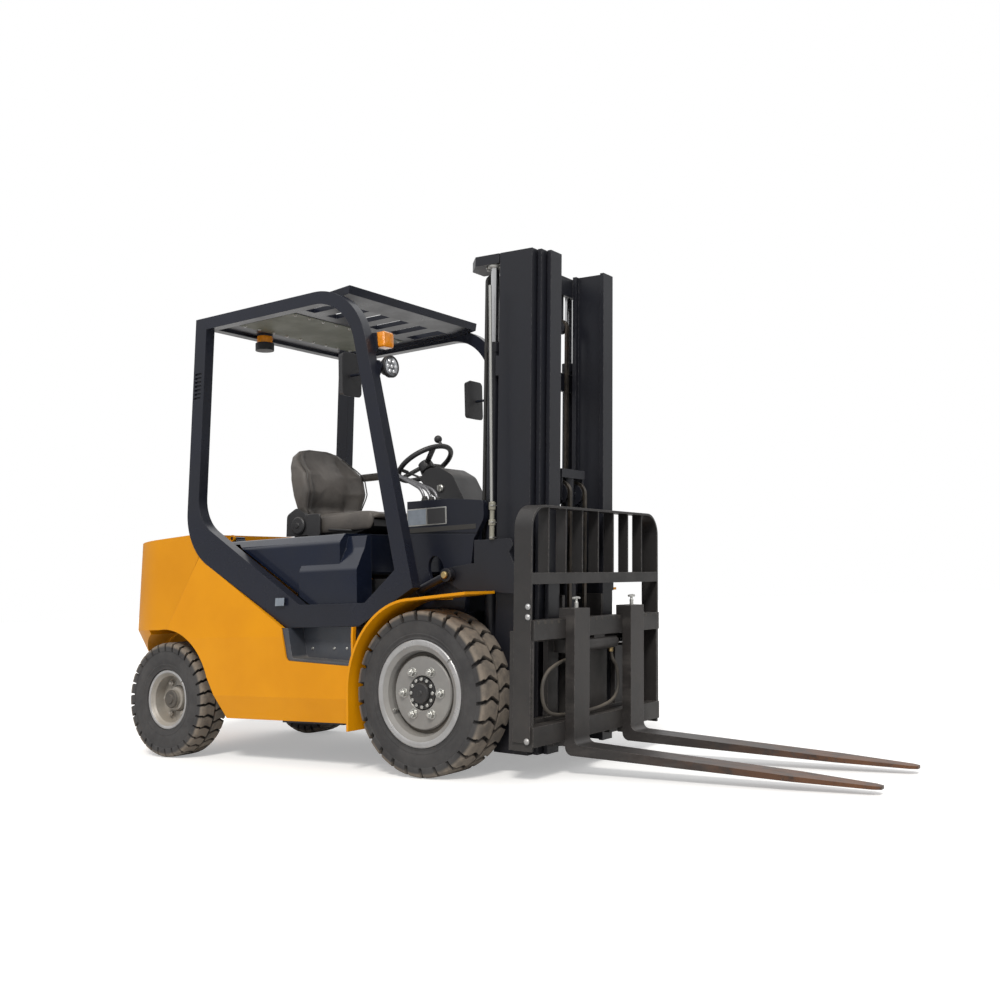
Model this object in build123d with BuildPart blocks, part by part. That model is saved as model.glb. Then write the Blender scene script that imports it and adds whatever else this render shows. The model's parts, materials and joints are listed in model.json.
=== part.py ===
from build123d import *
import os
from math import atan2, cos, degrees, pi, radians, sin, sqrt, tan

# A three tonne counterbalance fork-lift truck with a three-stage mast, in millimetres.
# X points forward to the fork tips, Y to the driver's left and Z up. The origin is on the
# ground, at the middle of the truck's width and of its whole length.

os.makedirs("parts", exist_ok=True)

# Running gear
wheelbase = 1700
rear_overhang = 500
front_tread = 1000
rear_tread = 980
front_tyre_radius = 355
front_tyre_width = 212
front_rim_radius = 190
front_flange_radius = 228
front_rim_width = 200
rear_tyre_radius = 288
rear_tyre_width = 168
rear_rim_radius = 127
rear_flange_radius = 149
rear_rim_width = 136
tyre_shoulder = 24
lug_depth = 22
lug_sink = 12
lug_share = 0.88
lug_side = 5
lug_middle = 4
front_lugs = 26
rear_lugs = 30
kingpin_inset = 95
kingpin_radius = 16
fit_gap = 0.3
moving_gap = 6
bend_share = 0.45

# Mast, measured along its leaning rails from the pivot on the front axle
mast_lean = 2.82
mast_foot = 255
mast_length = 2220
rail_back = 224
rail_depth = 176
rail_flange = 20
rail_web = 14
rail_outer_half = 355
outer_flange_width = 66
stage_lift = 1480
free_lift = 1400

# Carriage, side shifter and forks
carriage_height = 508
carriage_low = -183
carriage_half = 425
carriage_thickness = 30
shifter_half = 551
shifter_plate = 14
fork_bar_depth = 60
fork_length = 1275
fork_width = 125
fork_thickness = 45
fork_spacing = 494
fork_drop = 60
fork_hook_rise = 45
fork_tip_thickness = 12
fork_tip_width = 62
backrest_top = 805
backrest_bar_top = 521
backrest_depth = 86
backrest_plate = 10
backrest_slats = 7
side_shift = 100

# Body
body_half = 592
panel_thickness = 12
guard_half = 565
guard_tube = 55
roof_top = 2250
floor_height = 690
hood_half = 504
hood_wall = 6
hood_top = 1075
panel_half_top = 556
panel_low = 210
bevel_top = 320
bevel_in = 26
counterweight_half = 580
counterweight_half_top = 552
counterweight_top = 1122
counterweight_top_back = 1094
counterweight_low = 190
counterweight_waist = 640
counterweight_corner = 430
undercut_inset = 170
undercut_low = 330

# Tilt cylinders, each from the frame to its pin on the mast
pin_x = 45
pin_z = 858
pin_radius = 14
tilt_y = 442
tilt_barrel_radius = 33
tilt_back_x = -423
tilt_back_z = 679
tilt_barrel_length = 330

# Places that follow from the driving dimensions
lean_sin = sin(radians(mast_lean))
lean_cos = cos(radians(mast_lean))
tilt_angle = degrees(atan2(pin_z - tilt_back_z, pin_x - tilt_back_x))
tilt_length = sqrt((pin_z - tilt_back_z) ** 2 + (pin_x - tilt_back_x) ** 2)
stage_step = rail_flange + moving_gap
inner_back = rail_back + 2 * stage_step
inner_front = inner_back + rail_depth
carriage_back = inner_front + 8
shifter_back = carriage_back + carriage_thickness + 10
shifter_front = shifter_back + fork_bar_depth
shank_back = shifter_front + fit_gap
shank_front = shank_back + fork_thickness
blade_bottom = carriage_low - fork_drop
tip_reach = (shank_front + fork_length) * lean_cos + (blade_bottom + fork_tip_thickness) * lean_sin
overall_length = rear_overhang + wheelbase + tip_reach
front_axle_x = overall_length / 2 - tip_reach
rear_axle_x = front_axle_x - wheelbase
rear_end_x = rear_axle_x - rear_overhang
fx = front_axle_x
rx = rear_axle_x

mast_plane = Plane(
    origin=(fx, 0, front_tyre_radius),
    x_dir=(lean_cos, 0, -lean_sin),
    z_dir=(lean_sin, 0, lean_cos),
)


def mast_side(y):
    """A plane facing left at y, its own X forward and its own Y up along the leaning rails."""
    return Plane(
        origin=mast_plane.from_local_coords((0, y, 0)),
        x_dir=mast_plane.x_dir,
        z_dir=-mast_plane.y_dir,
    )


def side_plane(y):
    """An upright plane facing right at y, its own X forward and its own Y up."""
    return Plane(origin=(0, y, 0), x_dir=(1, 0, 0), z_dir=(0, -1, 0))


def side_prism(points, y_low, y_high, fillets=(), grow=0):
    """A side outline from y_low to y_high. fillets gives the radius at chosen corners and
    grow a margin added all round."""
    with BuildPart() as prism:
        with BuildSketch(side_plane(y_high)) as outline:
            with BuildLine():
                Polyline(*points, close=True)
            make_face()
            for index, radius in fillets:
                x, z = points[index]
                corner = outline.vertices().sort_by_distance((x, z, 0))[0]
                fillet(corner, radius)
            if grow:
                offset(amount=grow, kind=Kind.INTERSECTION)
        extrude(amount=y_high - y_low)
    return prism.part


def cross_prism(half_points, x_low, x_high, fillets=()):
    """A cross-section, the same on both sides, from x_low to x_high."""
    other = [(-y, z) for y, z in reversed(half_points)]
    with BuildPart() as prism:
        with BuildSketch(Plane(origin=(x_low, 0, 0), x_dir=(0, 1, 0), z_dir=(1, 0, 0))) as outline:
            with BuildLine():
                Polyline(*half_points, *other, close=True)
            make_face()
            for index, radius in fillets:
                y, z = half_points[index]
                for side in (-1, 1):
                    fillet(outline.vertices().sort_by_distance((side * y, z, 0))[0], radius)
        extrude(amount=x_high - x_low)
    return prism.part


def box(x, y, z):
    """A block between the low and high values of each axis."""
    with BuildPart() as block:
        with Locations(((x[0] + x[1]) / 2, (y[0] + y[1]) / 2, (z[0] + z[1]) / 2)):
            Box(x[1] - x[0], y[1] - y[0], z[1] - z[0])
    return block.part


def mast_box(u, y, w):
    """A block in the leaning mast's own axes."""
    with BuildPart(mast_plane) as block:
        with Locations(((u[0] + u[1]) / 2, (y[0] + y[1]) / 2, (w[0] + w[1]) / 2)):
            Box(u[1] - u[0], y[1] - y[0], w[1] - w[0])
    return block.part


def mast_post(u, y, w, radius):
    """A round post along the mast from w low to w high."""
    with BuildPart(mast_plane) as post:
        with Locations((u, y, w[0])):
            Cylinder(radius, w[1] - w[0], align=(Align.CENTER, Align.CENTER, Align.MIN))
    return post.part


def mast_roller(u, y, w, radius):
    """A roller on a cross axis of the mast, between y low and y high."""
    with BuildPart(mast_side(y[1])) as roller:
        with Locations((u, w, 0)):
            Cylinder(radius, y[1] - y[0], align=(Align.CENTER, Align.CENTER, Align.MIN))
    return roller.part


def axle_turn(x, z, points, y=0, side=1):
    """A body turned about a cross axis at x and z from (radius, distance outward) points."""
    axle = Plane(origin=(x, y, z), x_dir=(1, 0, 0), z_dir=(0, 0, side))
    with BuildPart() as turned:
        with BuildSketch(axle):
            with BuildLine():
                Polyline(*points, close=True)
            make_face()
        revolve(axis=Axis((x, y, z), (0, 1, 0)))
    return turned.part


def save(builder, label):
    """Label a finished piece and write it to its own file."""
    builder.part.label = label
    export_step(builder.part, f"parts/{label}.step")


def hose_runs(plane, points, radius):
    """A hose through local points of a plane, its straight runs joined by tangent arcs."""
    at = [plane.from_local_coords(point) for point in points]
    steps = [after - before for before, after in zip(at, at[1:])]
    radii = []
    for first, second in zip(steps, steps[1:]):
        turn = radians(first.get_angle(second))
        shorter = min(first.length, second.length)
        radii.append(bend_share * shorter / tan(turn / 2))
    with BuildPart() as hose:
        with BuildLine() as route:
            FilletPolyline(*at, radius=radii)
        with BuildSketch(Plane(origin=at[0], z_dir=steps[0])):
            Circle(radius)
        sweep()
    drawn = hose.part.volume / (pi * radius ** 2)
    print("bends", [round(value, 1) for value in radii], "length", round(route.wires()[0].length, 1),
          "by volume", round(drawn, 1))
    return hose.part


SIDES = (("right", -1), ("left", 1))


def tyre_body(x, y, z, radius, width, bead, flange, bead_width, facets):
    """A tyre without its lugs, as a ring of flat facets with a sloped shoulder each side."""
    half = width / 2
    slope = tyre_shoulder / 2
    bulge = (flange + radius) / 2
    apothem = cos(pi / facets)
    middle = Plane(origin=(x, y, z), x_dir=(1, 0, 0), z_dir=(0, 1, 0))
    with BuildPart() as body:
        with BuildSketch(middle):
            RegularPolygon(radius, facets)
        extrude(amount=half - slope, both=True)
        for side in (-1, 1):
            outward = Plane(origin=middle.offset(side * (half - slope)).origin, x_dir=(1, 0, 0),
                            z_dir=(0, side, 0))
            with BuildSketch(outward):
                RegularPolygon(radius, facets)
            extrude(amount=slope, taper=degrees(atan2(tyre_shoulder * apothem, slope)))
            inward = Plane(origin=middle.offset(side * half).origin, x_dir=(1, 0, 0), z_dir=(0, -side, 0))
            depth = half - bead_width / 2
            with BuildSketch(inward):
                RegularPolygon(bulge, facets)
            extrude(amount=depth, taper=degrees(atan2(bulge * apothem - flange - fit_gap, depth)),
                    mode=Mode.SUBTRACT)
        with BuildSketch(middle):
            RegularPolygon(bead / apothem, facets)
        extrude(amount=half, both=True, mode=Mode.SUBTRACT)
    return body.part


def tread(x, y, z, radius, half, count):
    """Lugs in two staggered rows round a tyre centred at x, y and z, one touching the ground."""
    reach = lug_share * pi * radius / count
    flat = sqrt(radius ** 2 - reach ** 2)
    first = 1.5 * pi - atan2(reach, flat)
    with BuildPart() as lugs:
        for row in (1, -1):
            faces = []
            for index in range(count):
                angle = first + 2 * pi * (index + (1 - row) / 4) / count
                out = Vector(cos(angle), 0, sin(angle))
                faces.append(Plane(origin=Vector(x, y, z) + out * flat, x_dir=(0, 1, 0), z_dir=out))
            with BuildSketch(*faces):
                with Locations((row * (half - lug_side + lug_middle) / 2, 0)):
                    Rectangle(half - lug_side - lug_middle, 2 * reach)
            extrude(amount=-lug_depth - lug_sink)
    return lugs.part


# Wheels, each a tyre on a rim with its hub
front_disc_back = 26
tyre_y = front_tread / 2
with BuildPart() as tyre_front_left:
    add(tyre_body(fx, tyre_y, front_tyre_radius, front_tyre_radius - lug_depth, front_tyre_width,
                  front_rim_radius, front_flange_radius, front_rim_width - 24, front_lugs))
    add(tread(fx, tyre_y, front_tyre_radius, front_tyre_radius, front_tyre_width / 2, front_lugs))
save(tyre_front_left, "tyre_front_left")
with BuildPart() as tyre_front_right:
    mirror(tyre_front_left.part, about=Plane.XZ)
save(tyre_front_right, "tyre_front_right")
for name, side in SIDES:
    y = side * front_tread / 2
    half_rim = front_rim_width / 2
    with BuildPart() as rim:
        add(axle_turn(fx, front_tyre_radius, [
            (front_rim_radius - 15, -half_rim), (front_flange_radius, -half_rim),
            (front_flange_radius, -half_rim + 12), (front_rim_radius, -half_rim + 12),
            (front_rim_radius, half_rim - 12), (front_flange_radius - 8, half_rim - 12),
            (front_flange_radius, half_rim - 6), (front_flange_radius - 4, half_rim),
            (front_rim_radius + 12, half_rim), (front_rim_radius - 8, half_rim - 10),
            (front_rim_radius - 15, half_rim - 30),
            (front_rim_radius - 19, front_disc_back + 12), (95, front_disc_back + 18),
            (72, front_disc_back + 18), (72, front_disc_back + 30), (39, front_disc_back + 30),
            (39, front_disc_back + 52), (33, front_disc_back + 58), (0, front_disc_back + 58), (0, -60),
            (150, -60), (150, front_disc_back), (front_rim_radius - 15, front_disc_back)], y, side))
    save(rim, f"rim_front_{name}")

rear_disc = -14
hub_bore = 30
tyre_y = rear_tread / 2
with BuildPart() as tyre_rear_left:
    add(tyre_body(rx, tyre_y, rear_tyre_radius, rear_tyre_radius - lug_depth, rear_tyre_width,
                  rear_rim_radius, rear_flange_radius, rear_rim_width - 18, rear_lugs))
    add(tread(rx, tyre_y, rear_tyre_radius, rear_tyre_radius, rear_tyre_width / 2, rear_lugs))
save(tyre_rear_left, "tyre_rear_left")
with BuildPart() as tyre_rear_right:
    mirror(tyre_rear_left.part, about=Plane.XZ)
save(tyre_rear_right, "tyre_rear_right")
for name, side in SIDES:
    y = side * rear_tread / 2
    half_rim = rear_rim_width / 2
    with BuildPart() as rim:
        add(axle_turn(rx, rear_tyre_radius, [
            (rear_rim_radius - 9, -half_rim), (rear_flange_radius, -half_rim),
            (rear_flange_radius, -half_rim + 9), (rear_rim_radius, -half_rim + 9),
            (rear_rim_radius, half_rim - 9), (rear_flange_radius - 6, half_rim - 9),
            (rear_flange_radius, half_rim - 5), (rear_flange_radius - 3, half_rim),
            (rear_rim_radius + 8, half_rim), (rear_rim_radius - 9, half_rim - 18),
            (rear_rim_radius - 12, rear_disc + 10), (62, rear_disc + 10),
            (58, 20), (46, 24), (46, 44), (40, 50), (0, 50), (0, 26), (hub_bore, 26), (hub_bore, -44),
            (58, -44), (58, rear_disc), (rear_rim_radius - 9, rear_disc)], y, side))
    save(rim, f"rim_rear_{name}")

# Steered axle: a cast beam whose end yokes hold the kingpins
kingpin_y = rear_tread / 2 - kingpin_inset
yoke_radius = 34
yoke_high = 80
yoke_low = 50
beam_half = 38
trunnion_half = beam_half + 45
trunnion_top = rear_tyre_radius + 125
with BuildPart() as steer_axle:
    add(box((rx - beam_half, rx + beam_half), (-kingpin_y + yoke_radius + 6, kingpin_y - yoke_radius - 6),
            (rear_tyre_radius - 70, rear_tyre_radius + 70)))
    add(box((rx - trunnion_half, rx + trunnion_half), (-130, 130), (trunnion_top - 70, trunnion_top)))
    for name, side in SIDES:
        for low in (yoke_low, -yoke_high):
            add(box((rx - yoke_radius, rx + yoke_radius),
                    sorted((side * kingpin_y, side * (kingpin_y - 50))),
                    (rear_tyre_radius + low, rear_tyre_radius + low + yoke_high - yoke_low)))
            with Locations((rx, side * kingpin_y, rear_tyre_radius + low)):
                Cylinder(yoke_radius, yoke_high - yoke_low,
                         align=(Align.CENTER, Align.CENTER, Align.MIN))
save(steer_axle, "steer_axle")

for name, side in SIDES:
    with BuildPart() as knuckle:
        with Locations((rx, side * kingpin_y, rear_tyre_radius)):
            Cylinder(yoke_radius - 3, 2 * (yoke_low - fit_gap))
        with BuildSketch(Plane(origin=(rx, side * kingpin_y, rear_tyre_radius), x_dir=(1, 0, 0),
                               z_dir=(0, side, 0))):
            Circle(hub_bore - fit_gap)
        extrude(amount=kingpin_inset + 20)
    save(knuckle, f"knuckle_{name}")

# Drive axle: a tube with a round gear housing at its middle
axle_tube_radius = 80
with BuildPart() as front_axle:
    with BuildSketch(Plane(origin=(fx, 0, front_tyre_radius), x_dir=(1, 0, 0), z_dir=(0, 1, 0))):
        Circle(axle_tube_radius)
    extrude(amount=front_tread / 2 - 60 - fit_gap, both=True)
    with Locations((fx, 0, front_tyre_radius)):
        Sphere(150)
save(front_axle, "front_axle")

# Frame between the axles, open below for the engine, with a tail over the steered axle
frame_front = fx - 175
tank_front = fx - 410
frame_back = rx + 440
tank_half = 545
belly_half = 470
frame_half = 360
tank_top = 640.7
frame_top = floor_height - fit_gap
step_top = 641
step_floor = 466
step_back_x = fx - 842
step_front_x = fx - 397
tray_inner = 478
tray_outline = [
    (step_back_x, step_top - fit_gap), (step_back_x + 34, 490), (step_front_x, step_floor),
    (step_front_x, step_top - fit_gap)]
tilt_lug = (480, 502)
mid_front = fx - 560
with BuildPart() as chassis_frame:
    add(box((frame_back, tank_front), (fit_gap - tray_inner, tray_inner - fit_gap),
            (panel_low + 5, tank_top)))
    add(box((frame_back + 300, fx - 560), (-belly_half, belly_half), (panel_low - 22, panel_low + 6)))
    add(box((frame_back, frame_front), (-frame_half, frame_half), (230, frame_top)))
    add(box((frame_back + 90, frame_front - 80), (-320, 320), (180, frame_top + 10)), mode=Mode.SUBTRACT)
    add(box((frame_back + 60, frame_front), (-330, 330), (230, 279.7)))
    add(box((rx - trunnion_half - 47, frame_back + 10), (-95, 95), (430, counterweight_waist - fit_gap)))
    for low in (-trunnion_half - 47, trunnion_half + fit_gap):
        add(box((rx + low, rx + low + 46.7), (-95, 95), (rear_tyre_radius, 440)))
    for name, side in SIDES:
        low, high = sorted((side * 290, side * 340))
        add(side_prism([(frame_front - 1, 240), (fx, 240), (fx + 60, 300), (fx + 60, 410),
                        (fx + 78, frame_top), (frame_front - 1, frame_top)], low, high))
        with BuildSketch(side_plane(high + 1)):
            with Locations((fx, front_tyre_radius)):
                Circle(axle_tube_radius + fit_gap)
        extrude(amount=high - low + 2, mode=Mode.SUBTRACT)
save(chassis_frame, "chassis_frame")

# Brackets beside the frame's rails for the tilt cylinders' rear pins
with BuildPart() as tilt_mounts:
    for name, side in SIDES:
        low, high = sorted((side * tilt_lug[0], side * tilt_lug[1]))
        add(side_prism([(fx - 482, 646), (fx - 411, 646), (fx - 400, tilt_back_z),
                        (fx - 410, tilt_back_z + 22), (fx - 482, tilt_back_z + 8)], low, high))
        add(box((fx - 482, fx - 459), sorted((side * (frame_half + fit_gap), side * tilt_lug[1])),
                (646, tilt_back_z + 8)))
        with BuildSketch(side_plane(side * 490)):
            with Locations((fx + tilt_back_x, tilt_back_z)):
                Circle(15)
        extrude(amount=side * 65)
save(tilt_mounts, "tilt_mounts")

# Tanks beside the frame, one below each step and one behind it
tank_step = step_floor - 8
with BuildPart() as side_tanks:
    for name, side in SIDES:
        width = sorted((side * tray_inner, side * tank_half))
        add(box((frame_back, tank_front), width, (panel_low + 5, tank_step - fit_gap)))
        add(box((frame_back, step_back_x - 12), width, (tank_step, tank_top)))
save(side_tanks, "side_tanks")

with BuildPart() as engine_block:
    add(box((frame_back + 160, mid_front - 10), (-230, 230), (280, 860)))
save(engine_block, "engine_block")

# Overhead guard outlines, used for the guard and for the panels cut to meet it
band_low_rear = (rx + 236, 1012)
band_low_front = (rx + 865, step_top)
guard_outline = [
    (rx + 200, roof_top), (rx + 138, 1055), band_low_front, (fx - 370, 645), (fx - 55, 806),
    (fx - 377, roof_top)]
guard_opening = [
    (rx + 280, roof_top - 62), (rx + 228, 1192), (rx + 951, 747), (fx - 338, 747), (fx - 157, 888),
    (fx - 432, roof_top - 62)]
guard_fillets = ((1, 300), (5, 335))
opening_fillets = ((1, 200), (5, 265))
guard_inner = guard_half - guard_tube

# Side panels, leaning in above, bevelled below and cut for the step and the rear wheel
seam_low = (rx + 26, 645)
seam_high = (rx + 236, 1012)
arch_radius = 355
panel_front = fx - 385.3
panel_wall = 20
panel_points = [
    seam_low, seam_high, (rx + 260, 1030), band_low_front, (panel_front, 641), (panel_front, panel_low),
    (rx + 455, panel_low), (rx + 331, 414)]
with BuildPart() as side_panels:
    for name, side in SIDES:
        outside = [
            (side * body_half, bevel_top), (side * body_half, 600), (side * panel_half_top, 1030)]
        inside = [(y - side * panel_wall, z) for y, z in reversed(outside)]
        low = side * (body_half - bevel_in)
        with BuildSketch(Plane(origin=(rx, 0, 0), x_dir=(0, 1, 0), z_dir=(1, 0, 0))):
            with BuildLine():
                Polyline(*outside, *inside, (low - side * panel_wall, panel_low), (low, panel_low),
                         close=True)
            make_face()
        extrude(amount=wheelbase - 385.3)
    add(side_prism(panel_points, -body_half - 1, body_half + 1), mode=Mode.INTERSECT)
    for name, side in SIDES:
        low, high = sorted((side * (body_half - 90), side * (body_half + 5)))
        with BuildSketch(side_plane(high)):
            with Locations((rx, rear_tyre_radius)):
                Circle(arch_radius)
        extrude(amount=high - low, mode=Mode.SUBTRACT)
        add(side_prism(guard_outline, low, high, guard_fillets, 1.5), mode=Mode.SUBTRACT)
        add(side_prism(tray_outline, low, high, ((1, 26),), fit_gap), mode=Mode.SUBTRACT)
save(side_panels, "side_panels")

with BuildPart() as step_trays:
    for name, side in SIDES:
        outer = body_half - 8
        low, high = sorted((side * tray_inner, side * outer))
        add(side_prism(tray_outline, low, high, ((1, 26),)))
        low, high = sorted((side * (tray_inner + 8), side * (outer + 10)))
        add(side_prism([(step_back_x + 34, tank_top + 20), (step_back_x + 66, 500), (step_front_x - 8, 478),
                        (step_front_x - 8, tank_top + 20)], low, high, ((1, 20),)), mode=Mode.SUBTRACT)
save(step_trays, "step_trays")

# Counterweight, narrowing below its waist and cut for the steered wheels, with the hood's hinge lugs
hood_back = rx + 219
hinge_x = rx + 240
hinge_z = 1104
hinge_radius = 9
hinge_lug = (340, 352)
wheel_swing = sqrt((kingpin_inset + rear_tyre_width / 2) ** 2 + rear_tyre_radius ** 2) + 8


def weight_section(height, half, back, corner):
    """Plan outline of the counterweight at one height."""
    front = rx + 300
    with BuildSketch(Plane.XY.offset(height)) as plan:
        with Locations(((back + front) / 2, 0)):
            Rectangle(front - back, 2 * half)
        fillet(plan.vertices().group_by(Axis.X)[0], corner)
    return plan.sketch


with BuildPart() as counterweight:
    add(weight_section(counterweight_waist, counterweight_half, rear_end_x, counterweight_corner))
    add(weight_section(counterweight_top, counterweight_half_top, rear_end_x + 12, counterweight_corner - 30))
    loft()
with BuildPart() as lower_weight:
    add(weight_section(undercut_low, counterweight_half - undercut_inset, rear_end_x + undercut_inset, 190))
    add(weight_section(counterweight_waist, counterweight_half, rear_end_x, counterweight_corner))
    loft()
    add(box((rear_end_x + undercut_inset + 30, rx + 300), (-350, 350), (counterweight_low, undercut_low)))
    add(box((rx - trunnion_half - 47.5, rx + 301), (-700, 700), (0, counterweight_waist + 1)),
        mode=Mode.SUBTRACT)
with counterweight:
    add(lower_weight.part)
    add(side_prism([(rear_end_x - 10, counterweight_top_back), (rx + 310, counterweight_top + 6),
                    (rx + 310, 1300), (rear_end_x - 10, 1300)], -700, 700), mode=Mode.SUBTRACT)
    add(side_prism([(seam_low[0] - 1.5, 560), (seam_low[0] - 1.5, seam_low[1]),
                    (seam_high[0] - 1.5, seam_high[1]), (rx + 310, 1145), (rx + 310, 560)], -700, 700),
        mode=Mode.SUBTRACT)
    add(box((hood_back - 6, rx + 320), (-guard_inner + 2, guard_inner - 2), (500, 1300)), mode=Mode.SUBTRACT)
    add(box((rx + 245, rx + 320), (-700, 700), (500, 1300)), mode=Mode.SUBTRACT)
    for name, side in SIDES:
        low, high = sorted((side * (guard_inner - 2), side * 700))
        add(side_prism(guard_outline, low, high, guard_fillets, 1.5), mode=Mode.SUBTRACT)
        with Locations((rx, side * kingpin_y, rear_tyre_radius)):
            Sphere(wheel_swing, mode=Mode.SUBTRACT)
        low, high = sorted((side * kingpin_y, side * 700))
        with BuildSketch(side_plane(high)):
            with Locations((rx, rear_tyre_radius)):
                Circle(arch_radius)
        extrude(amount=high - low, mode=Mode.SUBTRACT)
        low, high = sorted((side * hinge_lug[0], side * hinge_lug[1]))
        with BuildSketch(side_plane(high)):
            with Locations((hinge_x, hinge_z)):
                Circle(2 * hinge_radius)
            with Locations(((hinge_x + hood_back) / 2 - 12, hinge_z)):
                Rectangle(hinge_x - hood_back + 24, hinge_radius)
            with Locations((hinge_x, hinge_z)):
                Circle(hinge_radius + fit_gap, mode=Mode.SUBTRACT)
        extrude(amount=high - low)
    add(box((rear_end_x - 10, rear_end_x + 250), (-55, 55), (400, 500)), mode=Mode.SUBTRACT)
save(counterweight, "counterweight")

tow_x = rear_end_x + 150
with BuildPart() as tow_pin:
    with Locations((tow_x, 0, 400 + fit_gap)):
        Cylinder(15, 100 - 2 * fit_gap, align=(Align.CENTER, Align.CENTER, Align.MIN))
save(tow_pin, "tow_pin")

# Overhead guard: a closed side frame each side and the roof between them
for name, side in SIDES:
    with BuildPart() as guard_side:
        low, high = sorted((side * guard_inner, side * guard_half))
        add(side_prism(guard_outline, low, high, guard_fillets))
        add(side_prism(guard_opening, low - 1, high + 1, opening_fillets), mode=Mode.SUBTRACT)
        for slot in range(7 * (name == "right")):
            low, high = sorted((side * (guard_half - 8), side * (guard_half + 1)))
            x = rx + 222 - slot * 1.2
            z = 1955 - slot * 21
            add(box((x - 24, x + 24), (low, high), (z - 6, z + 6)), mode=Mode.SUBTRACT)
    save(guard_side, f"guard_side_{name}")

roof_slots = 6
slot_pitch = 158
roof_front = fx - 460
with BuildPart() as guard_roof:
    add(box((rx + 205, fx - 590), (-guard_inner + 20, guard_inner - 20), (roof_top - 30, roof_top - 6)))
    for slot in range(roof_slots):
        y = (slot - (roof_slots - 1) / 2) * slot_pitch
        add(box((fx - 845, fx - 605), (y - 38, y + 38), (roof_top - 80, roof_top + 10)), mode=Mode.SUBTRACT)
    add(side_prism([(fx - 612, roof_top - 32), (roof_front - 8, roof_top - 26), (roof_front, roof_top + 14),
                    (fx - 612, roof_top - 2)], -486, 486))
    for name, side in SIDES:
        low, high = sorted((side * 486, side * (guard_inner - fit_gap)))
        add(side_prism([(rx + 205, roof_top - 45), (fx - 640, roof_top - 45), (fx - 560, roof_top - 38),
                        (roof_front - 8, roof_top - 26), (roof_front, roof_top + 14),
                        (fx - 700, roof_top - 4), (rx + 205, roof_top - 4)], low, high))
    add(box((rx + 205, rx + 255), (-486, 486), (roof_top - 45, roof_top - 29)))
save(guard_roof, "guard_roof")

# Hood over the engine, wider beside the seat
hood_front = fx - 440
rear_profile = [(488, 690), (488, 1036), (448, 1078)]
bulge_profile = [(hood_half, 690), (hood_half, 905), (446, 1006), (430, 1062)]
with BuildPart() as hood:
    add(cross_prism(rear_profile, hood_back, mid_front, ((1, 24), (2, 16))))
    add(cross_prism(bulge_profile, fx - 812, hood_front, ((1, 26), (2, 14))))
    add(box((mid_front, fx), (-400, 400), (600, 1200)), mode=Mode.SUBTRACT)
    with BuildPart(mode=Mode.PRIVATE) as inside:
        add(cross_prism([(488 - hood_wall, 600), (488 - hood_wall, 1030), (444, 1078 - hood_wall)],
                        hood_back + 12, mid_front - hood_wall))
        add(cross_prism([(hood_half - hood_wall, 600), (hood_half - hood_wall, 903), (440, 1004)],
                        fx - 806, hood_front - hood_wall))
        add(box((mid_front - hood_wall, fx), (-400 - hood_wall, 400 + hood_wall), (500, 1200)),
            mode=Mode.SUBTRACT)
    add(inside.part, mode=Mode.SUBTRACT)
    add(side_prism([(hood_back - 1, 1060), (rx + 430, 1060), (rx + 960, 745), (hood_front + 1, 745),
                    (hood_front + 1, 600), (hood_back - 1, 600)], -600, 600), mode=Mode.SUBTRACT)
    add(side_prism([(mid_front + 1, 895), (mid_front - 72, 740), (mid_front + 1, 740)], -400, 400),
        mode=Mode.SUBTRACT)
    for name, side in SIDES:
        low, high = sorted((side * 270, side * hinge_lug[1]))
        with BuildSketch(side_plane(high)):
            with Locations((hinge_x, hinge_z)):
                Circle(hinge_radius)
        extrude(amount=high - low)
        low, high = sorted((side * 270, side * 330))
        add(side_prism([(hinge_x - 8, hinge_z), (hinge_x + 8, hinge_z), (hinge_x + 26, 1070),
                        (hinge_x + 2, 1070)], low, high))
save(hood, "hood")

# Front body: an open-backed cowl with a toe board, and the floor behind it
cowl_half = 400
cowl_back = fx - 216
cowl_top = 1205
cheek_inner = 366
dash_front = fx + 10
with BuildPart() as cowl:
    add(side_prism([
        (cowl_back, cowl_top), (fx + 30, cowl_top - 2), (fx + 222, 1182), (fx + 222, 1100), (fx + 165, 1015),
        (fx + 150, 920), (fx + 119, 800), (fx + 100, floor_height), (cowl_back, floor_height)],
        -cowl_half, cowl_half, ((2, 20), (3, 60))))
    add(side_prism([
        (cowl_back - 20, cowl_top - 14), (dash_front - 16, cowl_top - 14), (dash_front - 16, 890),
        (fx - 150, floor_height + 14), (cowl_back - 20, floor_height + 14)], -cowl_half + 20, cowl_half - 20),
        mode=Mode.SUBTRACT)
    add(box((dash_front, fx + 400), (-cheek_inner, cheek_inner), (500, 1300)), mode=Mode.SUBTRACT)
    add(box((mid_front + 12, cowl_back + 1), (-cowl_half, cowl_half), (floor_height, floor_height + 12)))
    for name, side in SIDES:
        low, high = sorted((side * (cowl_half - 26), side * (cowl_half + 1)))
        with BuildSketch(side_plane(high)):
            with Locations((fx - 52, 886)):
                Ellipse(44, 62, rotation=14)
        extrude(amount=high - low, mode=Mode.SUBTRACT)
        low, high = sorted((side * (front_tread - front_tyre_width - 10) / 2, side * (cowl_half + 1)))
        with BuildSketch(side_plane(high)):
            with Locations((fx, front_tyre_radius)):
                Circle(front_tyre_radius + 10)
        extrude(amount=high - low, mode=Mode.SUBTRACT)
        low, high = sorted((side * (cowl_half - 5), side * (cowl_half + 1)))
        add(side_prism([(fx - 205, 1064), (fx + 185, 1040), (fx + 182, 1032), (fx - 205, 1056)], low, high),
            mode=Mode.SUBTRACT)
save(cowl, "cowl")

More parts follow.
